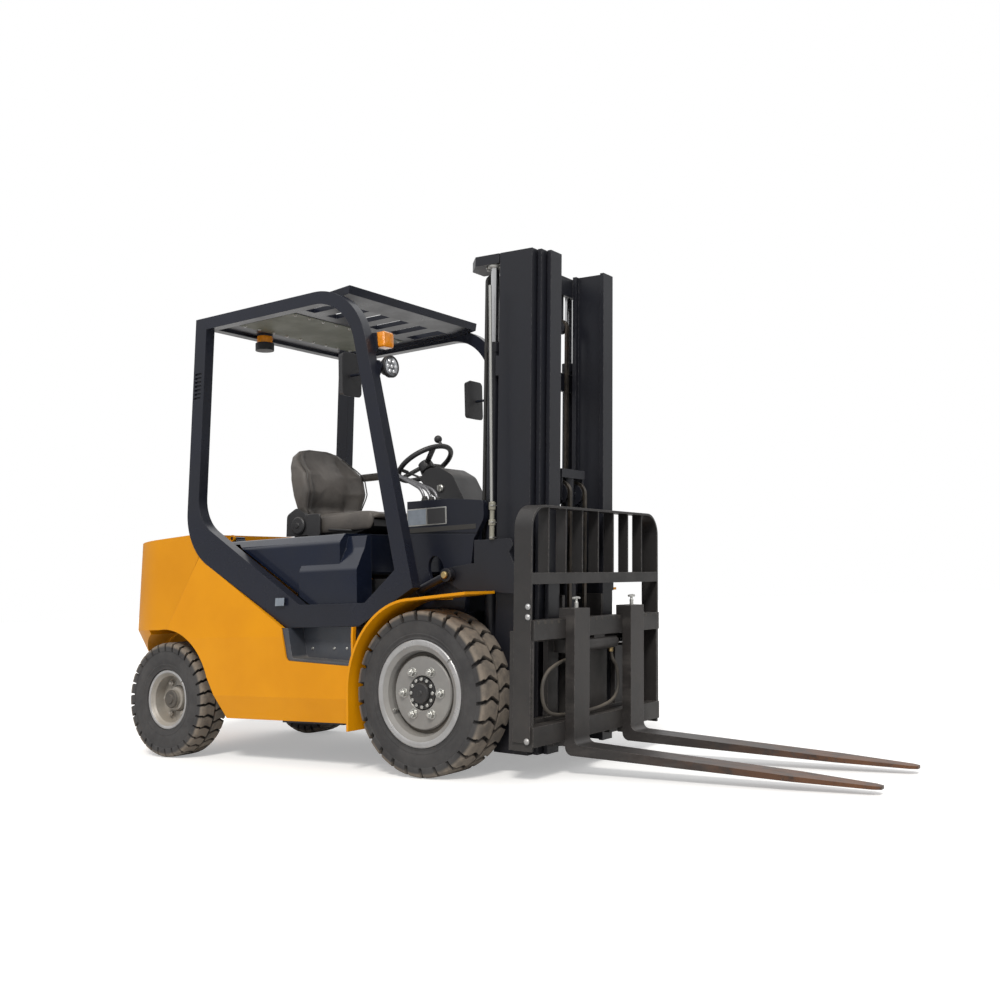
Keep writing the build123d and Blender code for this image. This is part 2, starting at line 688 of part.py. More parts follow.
# Front fenders over the drive wheels
fender_outer = 640
fender_inner = 425
fender_reach = 385
fender_rise = 408
fender_low = 186
fender_front = 290
fender_wall = 12
with BuildPart() as front_fenders:
    for name, side in SIDES:
        low, high = sorted((side * fender_inner, side * fender_outer))
        with BuildSketch(side_plane(high)):
            with BuildLine():
                axle = (fx, front_tyre_radius)
                for cut in (0, fender_wall):
                    reach = fender_reach - cut
                    top = front_tyre_radius + fender_rise - cut
                    Line((fx - reach, fender_low), (fx - reach, front_tyre_radius))
                    EllipticalCenterArc(axle, reach, fender_rise - cut, start_angle=90, arc_size=90)
                    Line((fx, top), (fx + fender_front, top + 18))
                Line((fx - fender_reach, fender_low), (fx - fender_reach + fender_wall, fender_low))
                Line((fx + fender_front, top + 18), (fx + fender_front, top + 18 + fender_wall))
            make_face()
        extrude(amount=high - low)
        add(box((fx - 60, fx + 40), sorted((side * (cowl_half + fit_gap), side * (fender_inner + 15))),
                (front_tyre_radius + fender_rise - 14, front_tyre_radius + fender_rise - 4)))
save(front_fenders, "front_fenders")

# Seat on the hood: a pan, soft cushions and an armrest on the driver's left
seat_x = rx + 889
hood_skin = 1078
with BuildPart() as seat_base:
    add(side_prism([(seat_x - 323, hood_skin + fit_gap), (seat_x + 42, hood_skin + fit_gap),
                    (seat_x + 228, hood_skin + 44), (seat_x + 222, hood_skin + 78),
                    (seat_x - 200, hood_skin + 78), (seat_x - 335, hood_skin + 55)], -215, 215))
    for name, side in SIDES:
        add(side_prism([(seat_x - 345, hood_skin + 20), (seat_x - 190, hood_skin + 20),
                        (seat_x - 205, hood_skin + 130), (seat_x - 270, hood_skin + 165),
                        (seat_x - 340, hood_skin + 130)],
                       *sorted((side * 232, side * 256)), ((2, 30), (3, 30), (4, 30))))
        add(box((seat_x - 300, seat_x - 200), sorted((side * 214, side * 233)),
                (hood_skin + 25, hood_skin + 52)))
save(seat_base, "seat_base")
cushion_low = hood_skin + 78 + fit_gap
with BuildPart() as seat_cushion:
    add(side_prism([(seat_x - 190, cushion_low), (seat_x + 205, cushion_low),
                    (seat_x + 240, cushion_low + 50), (seat_x + 214, cushion_low + 92),
                    (seat_x - 190, cushion_low + 80)], -228, 228, ((2, 24), (3, 24))))
save(seat_cushion, "seat_cushion")
back_front = seat_x - 190 - fit_gap
with BuildPart() as seat_back:
    add(side_prism([(back_front - 90, cushion_low), (back_front, cushion_low), (back_front, cushion_low + 90),
                    (back_front + 30, cushion_low + 120), (back_front - 60, hood_skin + 500),
                    (back_front - 120, hood_skin + 515), (back_front - 160, hood_skin + 470),
                    (back_front - 135, hood_skin + 260)], -225, 225, ((3, 30), (4, 30), (5, 24), (6, 40))))
    add(cross_prism([(190, cushion_low - 1), (224, hood_skin + 230), (216, hood_skin + 430),
                     (120, hood_skin + 516)], seat_x - 500, seat_x, ((1, 60), (2, 70), (3, 50))),
        mode=Mode.INTERSECT)
save(seat_back, "seat_back")

armrest_z = hood_skin + 390
with BuildPart() as armrest:
    add(side_prism([(back_front - 60, armrest_z - 14), (back_front + 280, armrest_z - 22),
                    (back_front + 280, armrest_z + 8), (back_front - 60, armrest_z + 16)],
                   218.5, 260, ((0, 12), (1, 14), (2, 14), (3, 12))))
save(armrest, "armrest")

# Steering wheel on its column
column_lean = 32
steer_centre = (fx - 432, 0, 1435)
steer_plane = Plane(origin=steer_centre, x_dir=(cos(radians(column_lean)), 0, sin(radians(column_lean))),
                    z_dir=(-sin(radians(column_lean)), 0, cos(radians(column_lean))))
with BuildPart() as steering_wheel:
    with BuildSketch(Plane(origin=steer_plane.origin, x_dir=steer_plane.x_dir, z_dir=-steer_plane.y_dir)):
        with Locations((145, 0)):
            Circle(13)
    revolve(axis=Axis(steer_plane.origin, steer_plane.z_dir))
    with BuildSketch(steer_plane.offset(-45)):
        Circle(42)
    extrude(amount=50, taper=8)
    with BuildSketch(steer_plane.offset(-16)):
        for turn in (90, 210, 330):
            with Locations(Rotation(0, 0, turn)):
                with Locations((72, 0)):
                    Rectangle(144, 26)
    extrude(amount=12)
    with BuildSketch(steer_plane):
        with Locations((136, 0)):
            Circle(8)
    extrude(amount=40)
    with Locations(steer_plane * Location((136, 0, 52))):
        Sphere(20)
save(steering_wheel, "steering_wheel")

with BuildPart() as dash_cover:
    add(side_prism([
        (fx - 388, 1342), (fx - 355, 1386), (fx - 323, 1396), (fx - 260, 1393), (fx - 183, 1349),
        (fx - 105, cowl_top + fit_gap), (fx - 196, cowl_top + fit_gap), (fx - 311, 1258)], -95, 95,
        ((1, 30), (3, 40), (4, 60), (7, 30))))
    with BuildSketch(steer_plane.offset(-46)):
        Circle(30)
    extrude(amount=-50)
save(dash_cover, "dash_cover")

with BuildPart() as pedals:
    for y in (-170, -90, 130):
        add(side_prism([(fx - 236, floor_height + 66), (fx - 196, floor_height + 126),
                        (fx - 204, floor_height + 132), (fx - 244, floor_height + 72)], y - 28, y + 28))
        add(side_prism([(fx - 216, floor_height + 106), (fx - 121, floor_height + 52),
                        (fx - 129, floor_height + 42), (fx - 224, floor_height + 96)], y - 7, y + 7))
save(pedals, "pedals")

lever_rows = ((-200, -447, 1365), (-250, -404, 1358), (-300, -361, 1350))
knob_radius = 17
knob_lean = degrees(atan2(12, 30))
with BuildPart() as control_levers:
    for y, reach, height in lever_rows:
        add(hose_runs(side_plane(y), [
            (fx - 162, cowl_top + fit_gap, 0), (fx - 162, cowl_top + 30, 0), (fx - 186, 1292, 0),
            (fx + reach + 30, height - 12, 0), (fx + reach, height, 0)], 7))
save(control_levers, "control_levers")
with BuildPart() as lever_knobs:
    for y, reach, height in lever_rows:
        step = knob_radius + fit_gap
        with Locations((fx + reach - step * cos(radians(knob_lean)), y,
                        height + step * sin(radians(knob_lean)))):
            Sphere(knob_radius)
save(lever_knobs, "lever_knobs")

# Lamps and mirrors inside the front legs of the guard
bracket_inner = 500
lamp_x = fx - 262
lamp_z = 1846
lamp_radius = 52
with BuildPart() as lamp_brackets:
    for name, side in SIDES:
        low, high = sorted((side * bracket_inner, side * (guard_inner - fit_gap)))
        add(side_prism([
            (fx - 385, 1745), (fx - 335, 1745), (fx - 282, 1800), (fx - 262, 1846), (fx - 282, 1870),
            (fx - 318, 1878), (fx - 290, 1935), (fx - 296, 2004), (fx - 326, 2004), (fx - 348, 1890),
            (fx - 352, 1830), (fx - 385, 1790)], low, high, ((2, 30), (3, 12), (5, 12), (9, 20))))
        with BuildSketch(Plane(origin=(fx - 468 + fit_gap, side * (guard_inner - 12), 1822),
                               x_dir=(0, 1, 0), z_dir=(1, 0, 0))):
            Circle(7)
        extrude(amount=120)
save(lamp_brackets, "lamp_brackets")
with BuildPart() as lamps:
    for name, side in SIDES:
        lamp_y = side * (bracket_inner - fit_gap - lamp_radius)
        add(box((fx - 330, fx - 262), sorted((side * 432, side * (bracket_inner - fit_gap))), (1938, 2006)))
        with BuildSketch(Plane(origin=(lamp_x, lamp_y, lamp_z), x_dir=(0, 1, 0), z_dir=(1, 0, 0))):
            Circle(lamp_radius)
        extrude(amount=-14)
        with BuildSketch(Plane(origin=(lamp_x - 14, lamp_y, lamp_z), x_dir=(0, 1, 0), z_dir=(-1, 0, 0))):
            Circle(lamp_radius - 3)
        extrude(amount=28, taper=25)
save(lamps, "lamps")
with BuildPart() as mirrors:
    for name, side in SIDES:
        with BuildSketch(Plane(origin=(fx - 468, side * 492, 1828), x_dir=(0, 1, 0), z_dir=(-1, 0, 0))):
            RectangleRounded(132, 212, 24)
        extrude(amount=30, taper=12)
save(mirrors, "mirrors")
with BuildPart() as beacon:
    with Locations((fx - 1400, -180, roof_top - 30 - fit_gap)):
        Cylinder(42, 46, align=(Align.CENTER, Align.CENTER, Align.MAX))
    with Locations((fx - 1400, -180, roof_top - 76)):
        Cylinder(50, 40, align=(Align.CENTER, Align.CENTER, Align.MAX))
save(beacon, "beacon")


def rail(back, y_outer, y_inner, web_outer, rear_outer, rear_inner):
    """A pair of mast rails. Flanges run from y_inner to y_outer at the front, and the rear
    flange from rear_inner to rear_outer, with the web at web_outer."""
    with BuildPart() as pair:
        for _, side in SIDES:
            add(mast_box((back + rail_depth - rail_flange, back + rail_depth),
                         sorted((side * y_outer, side * y_inner)),
                         (-mast_foot, mast_length - mast_foot)))
            add(mast_box((back, back + rail_flange), sorted((side * rear_outer, side * rear_inner)),
                         (-mast_foot, mast_length - mast_foot)))
            add(mast_box((back + rail_flange, back + rail_depth - rail_flange),
                         sorted((side * web_outer, side * (web_outer - rail_web))),
                         (-mast_foot, mast_length - mast_foot)))
    return pair.part


outer_inner = rail_outer_half - outer_flange_width
middle_web = outer_inner - moving_gap
middle_outer = rail_outer_half - rail_web - moving_gap
middle_inner = middle_web - 47
inner_web = middle_inner - moving_gap - 2
inner_inner = inner_web - 38
mast_head = mast_length - mast_foot
foot_low = 200
foot_high = 270
foot_ring = 112
outer_tie = 18
outer_ties = (-200, 480, 1400)
plate_inner = 405
plate_outer = 418
hose_seat_w = 556
hose_y = (-300, -278)
hose_u = 112
with BuildPart() as mast_outer:
    add(rail(rail_back, rail_outer_half, outer_inner, rail_outer_half, rail_outer_half, outer_inner))
    for low in outer_ties:
        add(mast_box((rail_back - outer_tie, rail_back), (-rail_outer_half, rail_outer_half),
                     (low, low + 90)))
    for name, side in SIDES:
        low, high = sorted((side * foot_low, side * foot_high))
        with BuildSketch(mast_side(high)):
            Circle(foot_ring)
            with BuildLine():
                Polyline((0, -foot_ring), (rail_back - outer_tie, -200), (rail_back - outer_tie, 130),
                         (0, foot_ring), close=True)
            make_face()
            Circle(axle_tube_radius + 0.5, mode=Mode.SUBTRACT)
        extrude(amount=high - low)
    hose_seat = (hose_seat_w - 16, hose_seat_w)
    add(mast_box((hose_u - 14, hose_u + 18), (hose_y[0] - 12, hose_y[1] + 12), hose_seat))
    add(mast_box((hose_u - 14, rail_back - outer_tie + 1), (-286, hose_y[1] + 12), hose_seat))
save(mast_outer, "mast_outer")

with BuildPart() as mast_brackets:
    for name, side in SIDES:
        low, high = sorted((side * plate_inner, side * plate_outer))
        add(side_prism([
            (fx + 18, 834), (fx + 95, 788), (fx + 400, 766), (fx + 405, 860), (fx + 366, 945),
            (fx + 388, 975), (fx + 378, 1004), (fx + 180, 1006), (fx + 176, 905), (fx + 40, 892),
            (fx + 18, 880)], low, high, ((0, 16), (4, 10), (5, 14), (6, 16), (9, 14), (10, 14))))
        low, high = sorted((side * (rail_outer_half + fit_gap), side * (plate_inner + 1)))
        add(side_prism([(fx + 284, 800), (fx + 302, 992), (fx + 366, 992), (fx + 372, 800)], low, high))
        with BuildSketch(side_plane(side * plate_outer)):
            with Locations((fx + pin_x, pin_z)):
                Circle(pin_radius)
        extrude(amount=-side * 48)
save(mast_brackets, "mast_brackets")

main_chain_y = 120
main_chain_gap = 20
main_pulley_w = 1700
main_pulley_radius = 30
main_pulley_u = rail_back + stage_step + 1.5
cylinder_u = 172
cylinder_y = 318
barrel_radius = 28
rod_radius = 20
barrel_top = 1560
head_plate = 44.7
lift_overlap = 60
lift_rod_low = barrel_top - stage_lift - lift_overlap
with BuildPart() as lift_barrels:
    for name, side in SIDES:
        add(mast_post(cylinder_u, side * cylinder_y, (-mast_foot + 20, barrel_top), barrel_radius))
        add(mast_post(cylinder_u, side * cylinder_y, (barrel_top - 46, barrel_top - 1), barrel_radius + 4))
        add(mast_box((cylinder_u, rail_back - outer_tie - fit_gap),
                     sorted((side * (cylinder_y - 12), side * (cylinder_y + 12))), (-190, -130)))
        with Locations(mast_plane * Location((cylinder_u, side * cylinder_y, lift_rod_low - 10))):
            Cylinder(rod_radius + fit_gap, barrel_top - lift_rod_low + 20,
                     align=(Align.CENTER, Align.CENTER, Align.MIN), mode=Mode.SUBTRACT)
save(lift_barrels, "lift_barrels")
with BuildPart() as lift_rods:
    for name, side in SIDES:
        add(mast_post(cylinder_u, side * cylinder_y, (lift_rod_low, mast_head - head_plate - fit_gap),
                      rod_radius))
save(lift_rods, "lift_rods")

with BuildPart() as mast_middle:
    add(rail(rail_back + stage_step, middle_outer - 17, middle_inner, middle_web, middle_outer - 1,
             middle_inner))
    with BuildSketch(mast_plane.offset(mast_head - head_plate)):
        with BuildLine():
            Polyline((12, -280), (84, -rail_outer_half), (218, -rail_outer_half), (218, rail_outer_half),
                     (84, rail_outer_half), (12, 280), close=True)
        make_face()
        with Locations((12, 0)):
            Rectangle(210, 380, mode=Mode.SUBTRACT)
    extrude(amount=head_plate)
    add(mast_box((rail_back - 10, rail_back + stage_step), (-middle_web, middle_web),
                 (mast_head - head_plate, mast_head)))
    for low in (-200, 700):
        add(mast_box((rail_back + moving_gap, rail_back + stage_step), (-middle_web, middle_web),
                     (low, low + 90)))
    for name, side in SIDES:
        for gap in (-main_chain_gap, main_chain_gap):
            y = side * main_chain_y + gap
            add(mast_box((main_pulley_u - 16, main_pulley_u), (y - 5, y + 5),
                         (main_pulley_w - 20, mast_head - 20)))
        add(mast_roller(main_pulley_u, sorted((side * main_chain_y - 14, side * main_chain_y + 14)),
                        main_pulley_w, main_pulley_radius - fit_gap))
        add(mast_roller(main_pulley_u, sorted((side * main_chain_y - 25, side * main_chain_y + 25)),
                        main_pulley_w, 10))
save(mast_middle, "mast_middle")

with BuildPart() as mast_inner:
    add(rail(inner_back, middle_inner + 43, inner_inner, inner_web, middle_web - rail_web - 7,
             inner_inner))
    for low in (-220, 60, 1860):
        add(mast_box((inner_back - rail_flange, inner_back), (-inner_web, inner_web), (low, low + 80)))
    add(mast_box((inner_back - 1, 420), (-main_chain_y - 20, main_chain_y + 20), (-220, -190)))
save(mast_inner, "mast_inner")

free_u = 370
free_barrel_top = 790
pulley_w = 880
pulley_radius = 50
chain_half = 65
chain_width = 20
chain_thickness = 12
free_rod_radius = 30
free_rod_low = free_barrel_top - free_lift / 2 - lift_overlap
with BuildPart() as free_lift_barrel:
    add(mast_post(free_u, 0, (-190 + fit_gap, free_barrel_top), 45))
    add(mast_box((free_u - 70, free_u - 30), (-90, 90), (free_barrel_top - 60, free_barrel_top - 30)))
    with Locations(mast_plane * Location((free_u, 0, free_rod_low - 10))):
        Cylinder(free_rod_radius + fit_gap, free_barrel_top - free_rod_low + 20,
                 align=(Align.CENTER, Align.CENTER, Align.MIN), mode=Mode.SUBTRACT)
save(free_lift_barrel, "free_lift_barrel")
with BuildPart() as free_lift_head:
    add(mast_post(free_u, 0, (free_rod_low, pulley_w + 100), free_rod_radius))
    add(mast_box((free_u - 34, free_u + 34), (-100, 100), (pulley_w + 72, pulley_w + 112)))
    for name, side in SIDES:
        add(mast_roller(free_u, sorted((side * (chain_half - 14), side * (chain_half + 14))), pulley_w,
                        pulley_radius - 0.3))
        low, high = sorted((side * 88, side * 96))
        add(mast_box((free_u - 30, free_u + 30), (low, high), (pulley_w - 34, pulley_w + 100)))
    add(mast_roller(free_u, (-100, 100), pulley_w, 15))
save(free_lift_head, "free_lift_head")


def chain_loop(u, w, radius, back_low, front_low, y):
    """A chain over a pulley, from its back end down to its front end."""
    outer = radius + chain_thickness
    with BuildPart() as loop:
        with BuildSketch(mast_side(y + chain_width / 2)):
            with Locations((u, w)):
                Circle(outer)
                Circle(radius, mode=Mode.SUBTRACT)
            with BuildLine():
                Polyline((u - outer, w), (u + outer, w), (u + outer, w - outer - 1),
                         (u - outer, w - outer - 1), close=True)
            make_face(mode=Mode.SUBTRACT)
            with BuildLine():
                Polyline((u - outer, w), (u - radius, w), (u - radius, back_low), (u - outer, back_low),
                         close=True)
            make_face()
            with BuildLine():
                Polyline((u + radius, w), (u + outer, w), (u + outer, front_low), (u + radius, front_low),
                         close=True)
            make_face()
        extrude(amount=chain_width)
    return loop.part


chain_anchor_w = 100
with BuildPart() as free_lift_chains:
    for name, side in SIDES:
        add(chain_loop(free_u, pulley_w, pulley_radius, free_barrel_top - 30 + fit_gap,
                       chain_anchor_w + fit_gap, side * chain_half))
save(free_lift_chains, "free_lift_chains")
with BuildPart() as main_lift_chains:
    for name, side in SIDES:
        add(chain_loop(main_pulley_u, main_pulley_w, main_pulley_radius, outer_ties[-1] + 90 + fit_gap,
                       -190 + fit_gap, side * main_chain_y))
save(main_lift_chains, "main_lift_chains")

# Two hoses behind the near rail, up over the top and down to the upper tie
hose_radius = 8
hose_top_w = 1885
hose_over = (54, 38)
with BuildPart() as mast_hoses:
    for y in hose_y:
        add(hose_runs(mast_plane, [
            (hose_u, y, hose_seat_w + fit_gap), (hose_u, y, hose_top_w),
            (hose_u + hose_over[0], y + hose_over[1], hose_top_w),
            (hose_u + hose_over[0], y + hose_over[1], outer_ties[-1] + 45),
            (rail_back - outer_tie - fit_gap, y + hose_over[1], outer_ties[-1] + 45)], hose_radius))
save(mast_hoses, "mast_hoses")

carriage_top = carriage_low + carriage_height
shift_u = (shifter_back + shifter_front) / 2
shift_w = 206
shift_barrel_half = 150
shift_barrel_radius = 30
shift_rod_radius = 11
bracket_y = shift_barrel_half + side_shift + 20
with BuildPart() as carriage:
    for low in (carriage_low + 25, carriage_top - 95):
        add(mast_box((carriage_back, carriage_back + carriage_thickness), (-carriage_half, carriage_half),
                     (low, low + 70)))
    for name, side in SIDES:
        add(mast_box((inner_back + 34, carriage_back + 1), sorted((side * 160, side * 180)), (-170, 420)))
        for w in (-80, 330):
            add(mast_roller(inner_back + rail_depth / 2, sorted((side * 179, side * 208)), w, 62))
        add(mast_box((free_u + pulley_radius, carriage_back + 1),
                     sorted((side * (chain_half - 15), side * (chain_half + 15))),
                     (chain_anchor_w - 40, chain_anchor_w)))
        add(mast_box((carriage_back, carriage_back + 24), sorted((side * 250, side * 330)), (-170, 260)))
        add(mast_box((carriage_back + 1, shift_u + 24), sorted((side * bracket_y, side * (bracket_y + 14))),
                     (shift_w - 28, shift_w + 28)))
        add(mast_box((carriage_back, carriage_back + carriage_thickness), sorted((side * 190, side * 290)),
                     (carriage_low - 34, carriage_low + 40)))
    add(mast_box((carriage_back, carriage_back + 20), (-180, 180), (-170, 260)))
save(carriage, "carriage")
with BuildPart() as shift_rod:
    add(mast_roller(shift_u, (-bracket_y + fit_gap, bracket_y - fit_gap), shift_w, shift_rod_radius))
save(shift_rod, "shift_rod")

with BuildPart() as side_shifter:
    for low, high in ((carriage_low, carriage_low + 80), (carriage_top - 80, carriage_top)):
        add(mast_box((shifter_back, shifter_front), (-shifter_half, shifter_half), (low, high)))
        add(mast_box((shifter_back - 9.7, shifter_back + 1), (-300, 300), (low + 20, high - 20)))
    for name, side in SIDES:
        low, high = sorted((side * (shifter_half - shifter_plate), side * shifter_half))
        add(mast_box((shifter_back - 60, shifter_front - 8), (low, high), (-200, 280)))
save(side_shifter, "side_shifter")
with BuildPart() as shift_barrel:
    add(mast_roller(shift_u, (-shift_barrel_half, shift_barrel_half), shift_w, shift_barrel_radius))
    add(mast_box((shift_u - 16, shift_u + 16), (-46, 46), (shift_w, carriage_top - 80 - fit_gap)))
    with BuildSketch(mast_side(shift_barrel_half + 1)):
        with Locations((shift_u, shift_w)):
            Circle(shift_rod_radius + fit_gap)
    extrude(amount=2 * shift_barrel_half + 2, mode=Mode.SUBTRACT)
save(shift_barrel, "shift_barrel")

# A hose hanging in a loop between the two ends of the side shift cylinder
port_w = shift_w - shift_barrel_radius - 2
with BuildPart() as shift_hose:
    add(hose_runs(mast_plane, [
        (shift_u, -130, port_w), (shift_u, -134, 150), (shift_u, -300, 148), (shift_u - 6, -440, 90),
        (shift_u - 4, -430, -50), (shift_u, -300, -88), (shift_u, 60, -84), (shift_u + 4, 196, -40),
        (shift_u, 192, 90), (shift_u, 134, 130), (shift_u, 130, port_w)], hose_radius))
save(shift_hose, "shift_hose")

backrest_outer = shifter_half + fit_gap + backrest_plate
backrest_back = shifter_front - 10 - backrest_depth
backrest_round = 105
backrest_plane = Plane(origin=mast_plane.from_local_coords((backrest_back, 0, 0)), x_dir=(0, 1, 0),
                       z_dir=mast_plane.x_dir)
with BuildPart() as load_backrest:
    for margin, mode in ((0, Mode.ADD), (backrest_plate, Mode.SUBTRACT)):
        half = backrest_outer - margin
        with BuildSketch(backrest_plane) as hoop:
            with BuildLine():
                Polyline((-half, -165 - margin), (-half, backrest_top - margin),
                         (half, backrest_top - margin), (half, -165 - margin), close=True)
            make_face()
            fillet(hoop.vertices().group_by(Axis.Y)[-1], backrest_round - margin)
        extrude(amount=backrest_depth, mode=mode)
    add(mast_box((shifter_front - 22, shifter_front - 10), (1 - backrest_outer, backrest_outer - 1),
                 (backrest_bar_top - 47, backrest_bar_top)))
    pitch = 2 * shifter_half / (backrest_slats + 1)
    for slat in range(backrest_slats):
        y = (slat - (backrest_slats - 1) / 2) * pitch
        add(mast_box((shifter_front - 72, shifter_front - 21), (y - 4, y + 4),
                     (backrest_bar_top - 47, backrest_top - backrest_plate + 1)))
save(load_backrest, "load_backrest")

shank_top = carriage_top + fork_hook_rise
tip = shank_front + fork_length
taper_start = tip - 330
for name, side in SIDES:
    with BuildPart() as fork:
        y = side * fork_spacing / 2
        with BuildSketch(mast_side(y + fork_width / 2)) as profile:
            with BuildLine():
                Polyline(
                    (shank_back, blade_bottom), (tip, blade_bottom), (tip, blade_bottom + fork_tip_thickness),
                    (shank_front, blade_bottom + fork_thickness), (shank_front, shank_top),
                    (shank_back - 34, shank_top), (shank_back - 34, carriage_top + fit_gap),
                    (shank_back, carriage_top + fit_gap), (shank_back, carriage_low - fit_gap),
                    (shank_back - 26, carriage_low - fit_gap), (shank_back - 26, carriage_low - 24),
                    (shank_back, carriage_low - 24), close=True)
            make_face()
            heel = profile.vertices().sort_by_distance((shank_back, blade_bottom, 0))[0]
            fillet(heel, 34)
            root = profile.vertices().sort_by_distance((shank_front, blade_bottom + fork_thickness, 0))[0]
            fillet(root, 30)
        extrude(amount=fork_width)
        with BuildSketch(mast_plane.offset(blade_bottom - 5)):
            with BuildLine():
                Polyline(
                    (shank_back - 50, y - fork_width / 2), (taper_start, y - fork_width / 2),
                    (tip - 30, y - fork_tip_width / 2), (tip, y - fork_tip_width / 4),
                    (tip, y + fork_tip_width / 4), (tip - 30, y + fork_tip_width / 2),
                    (taper_start, y + fork_width / 2), (shank_back - 50, y + fork_width / 2), close=True)
            make_face()
        extrude(amount=shank_top - blade_bottom + 10, mode=Mode.INTERSECT)
    save(fork, f"fork_{name}")

# Tilt cylinders, each from the frame to its pin on the mast
tilt_plane = Plane(
    origin=(fx + tilt_back_x, 0, tilt_back_z),
    x_dir=(cos(radians(tilt_angle)), 0, sin(radians(tilt_angle))),
    z_dir=(0, -1, 0),
)
tilt_rod_radius = 18
tilt_rod_start = tilt_barrel_length - 50
with BuildPart() as tilt_barrels:
    for name, side in SIDES:
        start = tilt_plane.from_local_coords((25, 0, -side * tilt_y))
        with BuildSketch(Plane(origin=start, x_dir=(0, 1, 0), z_dir=tilt_plane.x_dir)):
            Circle(tilt_barrel_radius)
        extrude(amount=tilt_barrel_length - 25)
        with BuildSketch(tilt_plane.offset(-side * tilt_y)):
            Circle(30)
        extrude(amount=15, both=True)
        with BuildSketch(tilt_plane.offset(-side * tilt_y)):
            Circle(15.5)
        extrude(amount=16, both=True, mode=Mode.SUBTRACT)
        start = tilt_plane.from_local_coords((tilt_rod_start - 82, 0, -side * tilt_y))
        with BuildSketch(Plane(origin=start, x_dir=(0, 1, 0), z_dir=tilt_plane.x_dir)):
            Circle(tilt_rod_radius + fit_gap)
        extrude(amount=tilt_barrel_length - tilt_rod_start + 90, mode=Mode.SUBTRACT)
save(tilt_barrels, "tilt_barrels")
with BuildPart() as tilt_rods:
    for name, side in SIDES:
        start = tilt_plane.from_local_coords((tilt_rod_start, 0, -side * tilt_y))
        with BuildSketch(Plane(origin=start, x_dir=(0, 1, 0), z_dir=tilt_plane.x_dir)):
            Circle(tilt_rod_radius)
        extrude(amount=tilt_length - tilt_rod_start - 25)
        eye = tilt_plane.from_local_coords((tilt_length, 0, -side * tilt_y))
        with BuildSketch(Plane(origin=eye, x_dir=(1, 0, 0), z_dir=(0, -1, 0))):
            Circle(30)
        extrude(amount=15, both=True)
        with BuildSketch(Plane(origin=eye, x_dir=(1, 0, 0), z_dir=(0, -1, 0))):
            Circle(pin_radius + 2)
        extrude(amount=20, both=True, mode=Mode.SUBTRACT)
save(tilt_rods, "tilt_rods")
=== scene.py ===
"""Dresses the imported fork-lift truck: paint, tyres, wheel trim, seat, chains, lamps and fittings."""

import json
import logging
import math
from dataclasses import dataclass, field
from enum import Enum
from typing import Callable

import bmesh
import bpy
import numpy as np
from mathutils import Matrix, Vector

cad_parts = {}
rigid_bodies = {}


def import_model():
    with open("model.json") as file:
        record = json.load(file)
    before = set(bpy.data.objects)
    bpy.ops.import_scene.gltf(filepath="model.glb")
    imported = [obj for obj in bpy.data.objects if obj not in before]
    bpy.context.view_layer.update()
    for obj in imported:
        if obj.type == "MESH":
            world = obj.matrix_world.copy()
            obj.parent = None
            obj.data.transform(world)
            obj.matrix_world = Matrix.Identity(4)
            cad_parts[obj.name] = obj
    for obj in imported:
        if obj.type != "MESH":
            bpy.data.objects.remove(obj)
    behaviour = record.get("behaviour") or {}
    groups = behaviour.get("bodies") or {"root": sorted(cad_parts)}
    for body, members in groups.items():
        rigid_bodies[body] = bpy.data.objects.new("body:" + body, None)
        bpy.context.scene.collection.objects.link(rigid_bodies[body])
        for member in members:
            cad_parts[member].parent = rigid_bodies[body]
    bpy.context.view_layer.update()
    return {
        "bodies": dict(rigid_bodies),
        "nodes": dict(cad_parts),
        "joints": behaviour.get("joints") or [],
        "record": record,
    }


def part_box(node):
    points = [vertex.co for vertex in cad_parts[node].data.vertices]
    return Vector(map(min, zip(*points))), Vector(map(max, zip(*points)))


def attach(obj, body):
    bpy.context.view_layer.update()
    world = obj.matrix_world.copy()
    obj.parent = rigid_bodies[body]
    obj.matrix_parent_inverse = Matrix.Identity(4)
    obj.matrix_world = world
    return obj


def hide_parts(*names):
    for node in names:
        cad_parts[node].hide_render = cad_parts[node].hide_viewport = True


log = logging.getLogger("forklift")
Array = np.ndarray
RGB = tuple[float, float, float]
Point = tuple[float, float, float]
Tree = bpy.types.NodeTree
Node = bpy.types.Node
Socket = bpy.types.NodeSocket

MM = 0.001
FULL_TURN = 2 * math.pi


class Body(Enum):
    """The moving bodies that new pieces ride on."""

    CHASSIS = "chassis"
    HOOD = "hood"
    MAST_OUTER = "mast_outer"
    MAST_MIDDLE = "mast_middle"
    CARRIAGE = "carriage"
    SHIFTER = "side_shifter"
    FORK_RIGHT = "fork_right"
    FORK_LEFT = "fork_left"


# Surfaces worked out as whole arrays


